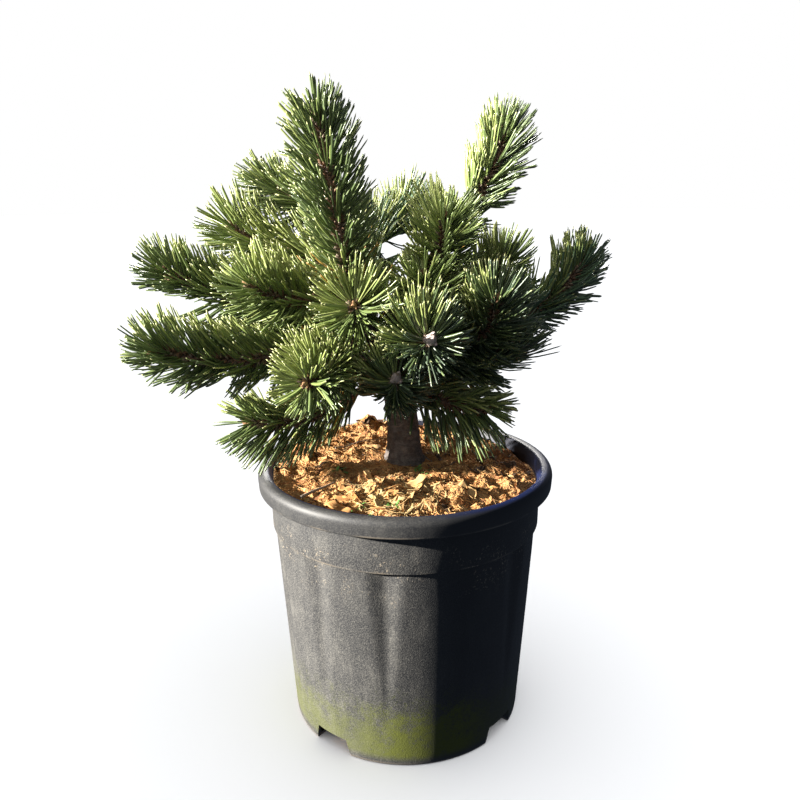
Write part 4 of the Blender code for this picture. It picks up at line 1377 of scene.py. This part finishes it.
def make_stems(settings, stems):
    """The shoots' own stems among the needles, sunk a little into what carries them."""
    tubes = []
    for stem in stems.values():
        back = (stem.points[1] - stem.points[0]).normalized() * STEM_SUNK * MM
        points = [stem.points[0] - back, *stem.points]
        tubes.append(tube("stem", points, [stem.radii[0], *stem.radii], 2))
    made = joined(tubes, "shoot_stems")
    smooth_to(made, 50.0)
    cover(made, bark_finish("young_bark", settings.dark, settings.young, 2.4 * MM, 0.6 * MM))
    settle(made)


def bud_lines(tip, ahead, length, radius, turn):
    """Centre lines and width directions of the scales that wrap one bud."""
    side = ahead.cross(Vector((0.3, 0.2, 1.0))).normalized()
    up = side.cross(ahead)
    lines = []
    across = []
    for index in range(BUD_SCALES):
        share = index / (BUD_SCALES - 1)
        angle = turn + index * GOLDEN_ANGLE
        out = side * cos(angle) + up * sin(angle)
        line = []
        for step in SCALE_SHARES:
            at = min(share * 0.78 + 0.26 * step, 1.04)
            swell = sin(pi * min(0.30 + 0.70 * at, 1.0)) ** 0.8
            bulge = radius * (swell * 0.95 + 0.10 * step * (1.0 - share))
            line.append(tip + ahead * (at * length) + out * bulge)
        lines.append(line)
        across.append(ahead.cross(out))
    return lines, across


def make_buds(stems, rng):
    """A resinous bud at each tip with smaller ones round its foot, wrapped in scales."""
    lines = []
    across = []
    sizes = []
    slots = []
    for name, stem in stems.items():
        whole = PALE_BUDS.get(name, BUD_SIZE)
        first = BUD_FINISHES.index("bud_scale" if name in PALE_BUDS else "bud_tan")
        ahead = stem.end_direction()
        tip = stem.points[-1]
        side = ahead.cross(Vector((0.1, 0.3, 1.0))).normalized()
        buds = [(tip - ahead * 1.0 * MM, ahead, 1.0)]
        for index in range(SIDE_BUDS):
            turn = 2.0 * pi * (index + rng.uniform(0, 0.4)) / SIDE_BUDS
            out = Matrix.Rotation(turn, 3, ahead) @ side
            buds.append((tip + out * 1.6 * MM, (ahead + out * 0.75).normalized(), SIDE_BUD_SIZE))
        for place, heading, part in buds:
            size = part * whole
            turn = rng.uniform(0, 6.0)
            found = bud_lines(place, heading, BUD_LENGTH * size, BUD_RADIUS * size, turn)
            lines += found[0]
            across += found[1]
            sizes += [size] * BUD_SCALES
            slots += [first] * BUD_SCALES
    sizes = np.array(sizes)[:, None]
    widths = sizes * np.array(SCALE_WIDTHS) * MM
    depths = sizes * np.array(SCALE_DEPTHS) * MM
    sides = len(NEEDLE_OUTLINE)
    faces = len(sweep_faces(len(SCALE_SHARES) - 1, sides, True))
    slots = np.repeat(np.array(slots)[:, None], faces, axis=1)
    slots[:, sides:] += rng.uniform(0, 1, (len(lines), 1)) < 0.3
    form = (np.array(lines), np.array(across), widths, depths, NEEDLE_OUTLINE)
    buds = sweep("winter_buds", *form, slots, BUD_FINISHES, True)
    settle(buds)


class MESH_OT_pine_limbs(Operator):
    """Adds the trunk and boughs with their bark, the shoots' stems and the buds"""

    bl_idname = "mesh.pine_limbs"
    bl_label = "Trunk, Boughs and Buds"

    def execute(self, context):
        settings = context.scene.pine_bark
        trunk, boughs, stems = grow_limbs()
        make_bark(settings, trunk, boughs)
        make_stems(settings, stems)
        make_buds(stems, np.random.default_rng(SEED))
        return {"FINISHED"}


# ---- needles ---------------------------------------------------------------------------------
def openings():
    """The spaces that the needles leave free: the shafts of light and the gaps in the crown."""
    limbs = []
    for x, y in SHAFTS:
        foot = Vector((x * MM, y * MM, SOIL_TOP))
        limbs.append(Limb([foot, foot + SHAFT_RUN], [SHAFT_RADIUS, SHAFT_RADIUS]))
    for x, z, radius in chain(*GAPS.values()):
        sight = Vector((x * MM, 0.0, z * MM)) - CAMERA_PLACE
        ends = [CAMERA_PLACE + sight * share for share in GAP_ENDS]
        limbs.append(Limb(ends, [radius * MM * share for share in GAP_ENDS]))
    return Spans(limbs)


def stem_frames(stem, shares):
    """At each share of a stem: its axis point, its direction, two square to it, its radius."""
    rows = []
    for share in shares:
        ahead, _ = stem.at(min(share + 0.05, 1.0))
        behind, _ = stem.at(max(share - 0.05, 0.0))
        along = (ahead - behind).normalized()
        side = along.cross(Vector((0, 0, 1)))
        if side.length < 0.1:
            side = along.cross(Vector((0, 1, 0)))
        side.normalize()
        place, radius = stem.at(share)
        rows.append((*place, *along, *side, *side.cross(along), radius))
    rows = np.array(rows)
    return rows[:, 0:3], rows[:, 3:6], rows[:, 6:9], rows[:, 9:12], rows[:, 12:13]


def pot_is_near(places):
    over_pot = from_middle(places) < RIM_RADIUS + POT_MARGIN
    return over_pot & (places[:, 2] < POT_HEIGHT + POT_MARGIN)


def keeps_its_space(lines, half, own, rivals, limbs, sky, stray):
    """True for each needle that stays in its own shoot's space and clear of the limbs."""
    count = len(lines)
    places = lines.reshape(-1, 3)
    fine = ~pot_is_near(places)
    fine &= limbs.gap(places) > LIMB_MARGIN + half
    fine &= sky.gap(places) > half - np.repeat(stray, lines.shape[1])
    from_rivals = rivals.gap(places)
    fine &= from_rivals > STEM_MARGIN + half
    fine &= from_rivals > own.gap(places) - 2.0 * MINGLE
    return fine.reshape(count, -1).all(axis=1)


def curve_of(root, heading, bend, reach, shares):
    """Points of a needle at those shares: straight at its root, bent further out."""
    shares = np.array(shares)
    straight = heading[:, None, :] * shares[None, :, None]
    curved = bend[:, None, :] * (shares**2)[None, :, None]
    return root[:, None, :] + (straight + curved) * reach[:, None, None]


def grow_pairs(habit, stem, own, rivals, limbs, sky, settings, rng):
    """The needles that a shoot keeps, two from each sheath: root, heading, bend, width direction,
    the way out from the stem, reach and share along the stem."""
    count = int(stem.length() / settings.spacing)
    index = np.arange(count)
    share = ((index + 0.5) / count) ** CROWDING
    place, along, side, up, radius = stem_frames(stem, share)
    near_bud = share**8
    lean = LEAN_SIDE + (radians(habit.lean) - LEAN_SIDE) * near_bud
    reach = settings.length * habit.reach * (1.0 - habit.at_bud * near_bud)
    reach *= 1.0 - habit.at_foot * (1.0 - share)
    sway = np.array(habit.sway) * (share**2)[:, None]
    half = 0.5 * settings.width
    parted = between(side, up, index * GOLDEN_ANGLE) @ unit(PART_TOWARDS) > cos(PART_HALF)
    parted &= (rng.uniform(0.0, 1.0, count) < PART_SHARE) & (share < 0.9)
    waiting = index[~parted]
    kept = []
    for trial in range(TRIALS):
        n = len(waiting)
        if not n:
            break
        turn = waiting * GOLDEN_ANGLE + rng.uniform(-1.0, 1.0, n) * (0.2 + TRIAL_TURN * trial)
        outward = between(side[waiting], up[waiting], turn)
        middle = between(along[waiting], outward, lean[waiting] + rng.normal(0.0, LEAN_SPREAD, n))
        long = reach[waiting] * (rng.uniform(*REACHES, n) - TRIAL_SHORTER * trial)
        root = place[waiting] + outward * radius[waiting] * 0.85
        apart = unit(np.cross(middle, along[waiting]))
        apart = between(apart, np.cross(middle, apart), rng.uniform(0.0, pi, n))
        bend = along[waiting] * rng.uniform(*BENDS_AHEAD, n)[:, None]
        bend += rng.normal(0.0, BEND_SPREAD, (n, 3)) + sway[waiting]
        bend[:, 2] += habit.lift * rng.uniform(*LIFTS, n)
        stray = STRAY * rng.uniform(0.0, 1.0, n) ** 2  # how far it may stick into an opening
        fine = np.ones(n, bool)
        pair = []
        for sign in (-1.0, 1.0):
            heading = unit(middle + apart * (sign * tan(PAIR_SPLIT)))
            lines = curve_of(root, heading, bend, long, PROBES)
            fine &= keeps_its_space(lines, half, own, rivals, limbs, sky, stray)
            pair.append((heading, unit(np.cross(heading, apart)) * sign))
        for heading, across in pair:
            rows = (root, heading, bend, across, outward, long, share[waiting])
            kept.append([row[fine] for row in rows])
        waiting = waiting[~fine]
    return [np.concatenate(rows) for rows in zip(*kept)]


def needle_slots(tone, share, outward, rng, faces):
    """The greens of each needle's sides, lighter for needles that point up and towards the key
    light (painted light) and darker for those that point away (painted shade), and the pale points
    of those that face the light, partly the needles' own yellowish points, partly painted light.
    """
    tip, lime, old = map(NEEDLE_FINISHES.index, ("needle_tip", "needle_lime", "needle_old"))
    greens = np.array([NEEDLE_FINISHES.index(green) for green in TONES[tone]])
    paler = np.append(greens[1:], lime)  # one side of each needle, with its pale lines
    count = len(share)
    # painted light and shade: how far a needle points up and towards the key light's side, -X,
    # with some random spread
    light = 0.6 * outward[:, 2] - 0.35 * outward[:, 0] + rng.normal(0.0, 0.35, count)
    kind = np.select([light < -0.25, light < 0.45], [0, 1], 2)
    slots = np.repeat(greens[kind][:, None], faces, axis=1)
    sides = len(NEEDLE_OUTLINE)
    end = (len(NEEDLE_SHARES) - 1) * sides
    slots[:, sides - 1 : end : sides] = paler[kind][:, None]
    # painted light: lime and pale points on the needles that face the light, partly their own
    # yellowish points
    bright = light > (0.10 if tone == "painted_sunlit" else 0.42)
    slots[bright, end - 2 * sides : end] = lime
    slots[light > 0.0, end - sides : end] = tip
    slots[(share < OLD_NEEDLES) & (rng.uniform(0.0, 1.0, count) < OLD_SHARE)] = old
    return slots


def region_of(name):
    """The piece that a shoot's needles are joined into: one for each side of the crown."""
    if name in UPPER:
        return "upper"
    first = name.split("_")[0]
    return first if first in ("left", "right", "front", "back") else "leader"


def make_needles(settings):
    """The needles of each side of the crown as one piece, and their sheaths."""
    rng = np.random.default_rng(settings.seed)
    trunk, boughs, stems = grow_limbs()
    limbs = Spans([trunk, *boughs.values()])
    sky = openings()
    faces = len(sweep_faces(len(NEEDLE_SHARES) - 1, len(NEEDLE_OUTLINE), True))
    groups = {}
    sheaths = []
    for name, stem in stems.items():
        own = Spans([stem])
        rivals = Spans([other for key, other in stems.items() if key != name])
        habit = HABITS.get(name, Habit())
        grown = grow_pairs(habit, stem, own, rivals, limbs, sky, settings, rng)
        root, heading, bend, across, outward, reach, share = grown
        lines = curve_of(root, heading, bend, reach, NEEDLE_SHARES)
        slots = needle_slots(habit.tone, share, outward, rng, faces)
        groups.setdefault(region_of(name), []).append((name, lines, across, slots))
        sheaths.append((root, heading, across))
    widths = 0.5 * settings.width * np.array(NEEDLE_WIDTHS)
    for region, rows in groups.items():
        names, *parts = zip(*rows)
        lines, across, slots = map(np.concatenate, parts)
        wide = np.repeat(widths[None, :], len(lines), axis=0)
        form = (lines, across, wide, wide, NEEDLE_OUTLINE, slots, NEEDLE_FINISHES)
        piece = sweep("needles_" + region, *form, True)
        piece.data.shade_smooth()
        settle(piece, ["foliage_" + name for name in names])
    make_sheaths(sheaths, rng)


def make_sheaths(rows, rng):
    """The short papery sleeve round the foot of each needle."""
    root, heading, across = map(np.concatenate, zip(*rows))
    lines = np.stack([root, root + heading * SHEATH], axis=1)
    wide = np.repeat(np.array([SHEATH_RADII]), len(lines), axis=0)
    slots = rng.uniform(0, 1, len(lines)) < GREY_SHEATHS
    finishes = ("sheath_brown", "sheath_grey")
    form = (lines, across, wide, wide, SHEATH_OUTLINE, slots, finishes)
    sheaths = sweep("needle_sheaths", *form)
    sheaths.data.shade_smooth()
    settle(sheaths)


class MESH_OT_pine_needles(Operator):
    """Adds the needles of every shoot in pairs, with the sheath at the foot of each pair"""

    bl_idname = "mesh.pine_needles"
    bl_label = "Needles"

    def execute(self, context):
        make_needles(context.scene.pine_needles)
        return {"FINISHED"}


# ---- stage -----------------------------------------------------------------------------------
def make_floor(settings):
    """Matt paper with the faintest tooth."""
    deselect()
    bpy.ops.mesh.primitive_circle_add(vertices=96, radius=FLOOR_RADIUS, fill_type="NGON")
    floor = bpy.context.active_object
    floor.name = "paper_floor"
    paper = Finish("floor_paper", settings.floor, 0.9, 0.1)
    paper.relief(paper.grain(1.5 * MM, 3.0), 0.02 * MM)
    cover(floor, paper.material)
    floor.visible_diffuse = False
    floor.visible_glossy = False


def sun_lamp(name, lamp, bearing, height, strength):
    """A sun from that side, which lights only its pieces, or all but those."""
    flat = cos(height)
    towards = Vector((flat * cos(bearing), flat * sin(bearing), sin(height)))
    data = bpy.data.lights.new(name, "SUN")
    data.energy = strength
    data.angle = radians(lamp.spread)
    data.color = lamp.colour
    made = show(name, data)
    made.rotation_mode = "QUATERNION"
    made.rotation_quaternion = towards.to_track_quat("Z", "Y")
    linked = bpy.data.collections.new(name + "_on")
    for piece in lamp.pieces:
        linked.objects.link(bpy.data.objects[piece])
    made.light_linking.receiver_collection = linked
    for entry in linked.collection_objects:
        entry.light_linking.link_state = lamp.state


def make_sky(strength):
    """A pale blue fill from all round, which the camera sees as plain white."""
    world = bpy.data.worlds.new("soft_sky")
    world.use_nodes = True
    tree = world.node_tree
    background = tree.nodes["Background"]
    background.inputs["Color"].default_value = (*SKY_COLOUR, 1.0)
    background.inputs["Strength"].default_value = strength
    seen = tree.nodes.new("ShaderNodeBackground")
    seen.inputs["Color"].default_value = (1.0, 1.0, 1.0, 1.0)
    seen.inputs["Strength"].default_value = BACKDROP
    path = tree.nodes.new("ShaderNodeLightPath")
    mix = tree.nodes.new("ShaderNodeMixShader")
    tree.links.new(path.outputs["Is Camera Ray"], mix.inputs[0])
    tree.links.new(background.outputs[0], mix.inputs[1])
    tree.links.new(seen.outputs[0], mix.inputs[2])
    tree.links.new(mix.outputs[0], tree.nodes["World Output"].inputs["Surface"])
    bpy.context.scene.world = world


def make_light(settings):
    """The key light, and one each for the floor, the front, the back and the upper shoots."""
    sun_lamp("key_light", KEY_LIGHT, settings.bearing, settings.height, settings.sun)
    for name, lamp, strength in (
        ("floor_light", FLOOR_LIGHT, settings.floor_light),
        ("fill_light", FILL_LIGHT, settings.fill),
        ("back_light", BACK_LIGHT, settings.back),
        ("crown_light", CROWN_LIGHT, settings.crown),
    ):
        sun_lamp(name, lamp, radians(lamp.bearing), radians(lamp.height), strength)
    make_sky(settings.sky)


def make_camera():
    data = bpy.data.cameras.new("camera")
    data.lens = CAMERA_LENS
    data.sensor_width = CAMERA_SENSOR
    camera = show("camera", data)
    level = Euler((pi / 2 - CAMERA_DOWN, 0.0, 0.0)).to_matrix().to_4x4()
    turn = Matrix.Rotation(CAMERA_TURN, 4, "Z")
    roll = Matrix.Rotation(CAMERA_ROLL, 4, "Z")
    camera.matrix_world = Matrix.Translation(CAMERA_PLACE) @ turn @ level @ roll
    bpy.context.scene.camera = camera


class SCENE_OT_pine_stage(Operator):
    """Adds the pale floor, the lights, the soft sky and the camera"""

    bl_idname = "scene.pine_stage"
    bl_label = "Stage"

    def execute(self, context):
        settings = context.scene.pine_stage
        make_floor(settings)
        make_light(settings)
        make_camera()
        context.scene.view_settings.view_transform = "Standard"
        return {"FINISHED"}


# ---- panel and registration ------------------------------------------------------------------
GROUPS = {
    "pine_pot": PinePotSettings,
    "pine_mulch": PineMulchSettings,
    "pine_bark": PineBarkSettings,
    "pine_needles": PineNeedleSettings,
    "pine_stage": PineStageSettings,
}
OPERATORS = (
    MESH_OT_pine_pot,
    MESH_OT_pine_mulch,
    MESH_OT_pine_limbs,
    MESH_OT_pine_needles,
    SCENE_OT_pine_stage,
)


class VIEW3D_PT_pine(Panel):
    """Lists the steps that build the potted pine, with their settings"""

    bl_label = "Potted Pine"
    bl_space_type = "VIEW_3D"
    bl_region_type = "UI"
    bl_category = "Potted Pine"

    def draw(self, context):
        for group, operator in zip(GROUPS, OPERATORS):
            box = self.layout.box()
            settings = getattr(context.scene, group)
            for name in settings.__annotations__:
                box.prop(settings, name)
            box.operator(operator.bl_idname)


def register():
    for made in (*GROUPS.values(), *OPERATORS, VIEW3D_PT_pine):
        bpy.utils.register_class(made)
    for name, group in GROUPS.items():
        setattr(bpy.types.Scene, name, PointerProperty(type=group))


def unregister():
    for name in GROUPS:
        delattr(bpy.types.Scene, name)
    for made in reversed((*GROUPS.values(), *OPERATORS, VIEW3D_PT_pine)):
        bpy.utils.unregister_class(made)


def main():
    register()
    bpy.ops.mesh.pine_pot()
    bpy.ops.mesh.pine_mulch()
    bpy.ops.mesh.pine_limbs()
    bpy.ops.mesh.pine_needles()
    bpy.ops.scene.pine_stage()


if __name__ == "__main__":
    main()
